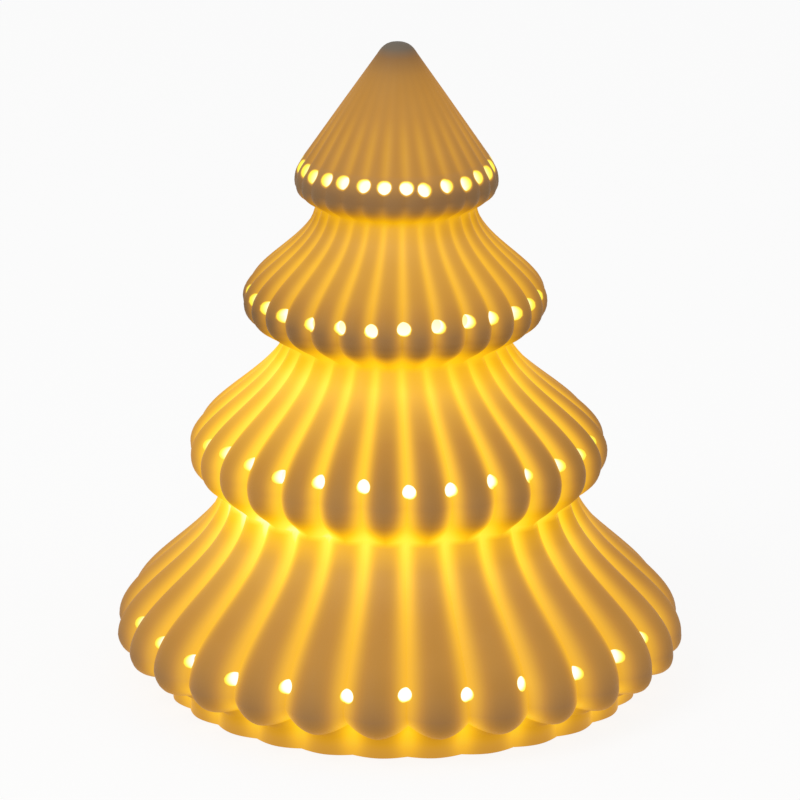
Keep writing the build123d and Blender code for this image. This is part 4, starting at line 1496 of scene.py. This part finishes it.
@dataclass
class Studio:
    """A plain white studio with soft light, and the camera at the photograph's angle."""

    image_pixels: float = 800.0
    elevation: float = math.radians(17.18)
    roll: float = math.radians(0.17)
    distance: float = 1.407
    aim_height: float = 0.0881
    lens: float = 207.7
    sensor_width: float = 36.0
    axis_pixels_left: float = 0.5
    floor_size: float = 12.0
    floor_drop: float = 0.0002
    floor_lift: float = 0.88
    paper: Colour = (0.92, 0.92, 0.92)
    world_strength: float = 0.62
    seen_world: float = 0.965
    lamps: tuple[SoftLamp, ...] = (
        SoftLamp("key_lamp", (-0.9, -0.9, 1.3), 9.0),
        SoftLamp("fill_lamp", (1.1, -0.6, 1.0), 2.0),
    )
    lamp_size: float = 0.9
    lamp_aim: float = 0.08

    def build(self) -> None:
        """Makes the floor, the world, the lamps and the camera."""
        self.make_floor()
        self.make_world()
        self.make_lamps()
        self.make_camera()

    def make_floor(self) -> None:
        """Makes a white floor that keeps the lamp's shadow.

        It can be looked through from below, and it lets the surround's light up to the lamp's underside.
        """
        deselect_all()
        bpy.ops.mesh.primitive_plane_add(size=self.floor_size, location=(0, 0, -self.floor_drop))
        floor = bpy.context.object
        floor.name = "studio_floor"
        material = blank_material("white_floor")
        desk = NodeDesk(material.node_tree)
        paper = desk.add("ShaderNodeBsdfDiffuse", values={"Color": opaque(self.paper)})
        white = desk.add("ShaderNodeEmission", values={"Color": opaque(WHITE)})
        clear = desk.add("ShaderNodeBsdfTransparent")
        path = desk.add("ShaderNodeLightPath")
        sides = desk.add("ShaderNodeNewGeometry")
        lift = desk.add("ShaderNodeMath", operation="MULTIPLY")
        lift.inputs[1].default_value = self.floor_lift
        lit = desk.add("ShaderNodeMixShader")
        faced = desk.add("ShaderNodeMixShader")
        out = desk.add("ShaderNodeOutputMaterial")
        mirrored = desk.larger(path.outputs["Is Camera Ray"], path.outputs["Is Glossy Ray"])
        seen = desk.larger(mirrored, path.outputs["Is Transmission Ray"])
        opened = desk.larger(sides.outputs["Backfacing"], path.outputs["Is Diffuse Ray"])
        desk.link(seen, lift.inputs[0])
        desk.link(lift.outputs["Value"], lit.inputs["Fac"])
        desk.link(paper.outputs["BSDF"], lit.inputs[1])
        desk.link(white.outputs["Emission"], lit.inputs[2])
        desk.link(opened, faced.inputs["Fac"])
        desk.link(lit.outputs["Shader"], faced.inputs[1])
        desk.link(clear.outputs["BSDF"], faced.inputs[2])
        desk.link(faced.outputs["Shader"], out.inputs["Surface"])
        wear(floor, material)

    def make_world(self) -> None:
        """Makes an even white surround, seen as white as the floor and a little dimmer as light."""
        world = bpy.data.worlds.new("white_surround")
        bpy.context.scene.world = world
        world.use_nodes = True
        world.node_tree.nodes.clear()
        desk = NodeDesk(world.node_tree)
        path = desk.add("ShaderNodeLightPath")
        strengths = {"To Min": self.world_strength, "To Max": self.seen_world}
        strength = desk.add("ShaderNodeMapRange", values=strengths)
        sky = desk.add("ShaderNodeBackground", values={"Color": opaque(WHITE)})
        out = desk.add("ShaderNodeOutputWorld")
        desk.link(path.outputs["Is Camera Ray"], strength.inputs["Value"])
        desk.link(strength.outputs["Result"], sky.inputs["Strength"])
        desk.link(sky.outputs["Background"], out.inputs["Surface"])

    def make_lamps(self) -> None:
        """Makes the soft lamps, which point at the tree."""
        aim = Vector((0, 0, self.lamp_aim))
        for lamp in self.lamps:
            light = bpy.data.lights.new(lamp.name, "AREA")
            light.energy = lamp.power
            light.size = self.lamp_size
            holder = bpy.data.objects.new(lamp.name, light)
            holder.location = lamp.place
            holder.rotation_euler = (aim - Vector(lamp.place)).to_track_quat("-Z", "Y").to_euler()
            bpy.context.scene.collection.objects.link(holder)

    def make_camera(self) -> None:
        """Makes the camera, a long lens in front of the lamp and a little above it."""
        back = Vector((0.0, -math.cos(self.elevation), math.sin(self.elevation)))
        lens = bpy.data.cameras.new("photo_camera")
        lens.lens = self.lens
        lens.sensor_width = self.sensor_width
        lens.shift_x = self.axis_pixels_left / self.image_pixels
        camera = bpy.data.objects.new("photo_camera", lens)
        turn = (-back).to_track_quat("-Z", "Y").to_matrix().to_4x4()
        place = Matrix.Translation(Vector((0, 0, self.aim_height)) + back * self.distance)
        camera.matrix_world = place @ turn @ Matrix.Rotation(self.roll, 4, "Z")
        bpy.context.scene.collection.objects.link(camera)
        bpy.context.scene.camera = camera
        bpy.context.scene.view_settings.view_transform = "Standard"


def main() -> None:
    """Builds the lamp's pieces in order, then the studio."""
    logging.basicConfig(level=logging.INFO, format="%(name)s: %(message)s")
    effects = SharedEffects()
    for piece in (PorcelainTree().build(effects), HousingScrews().build(effects)):
        shape = piece.data
        log.info("%s has %d points and %d faces", piece.name, len(shape.vertices), len(shape.polygons))
    LightModule().dress(effects)
    Studio().build()


if __name__ == "__main__":
    main()
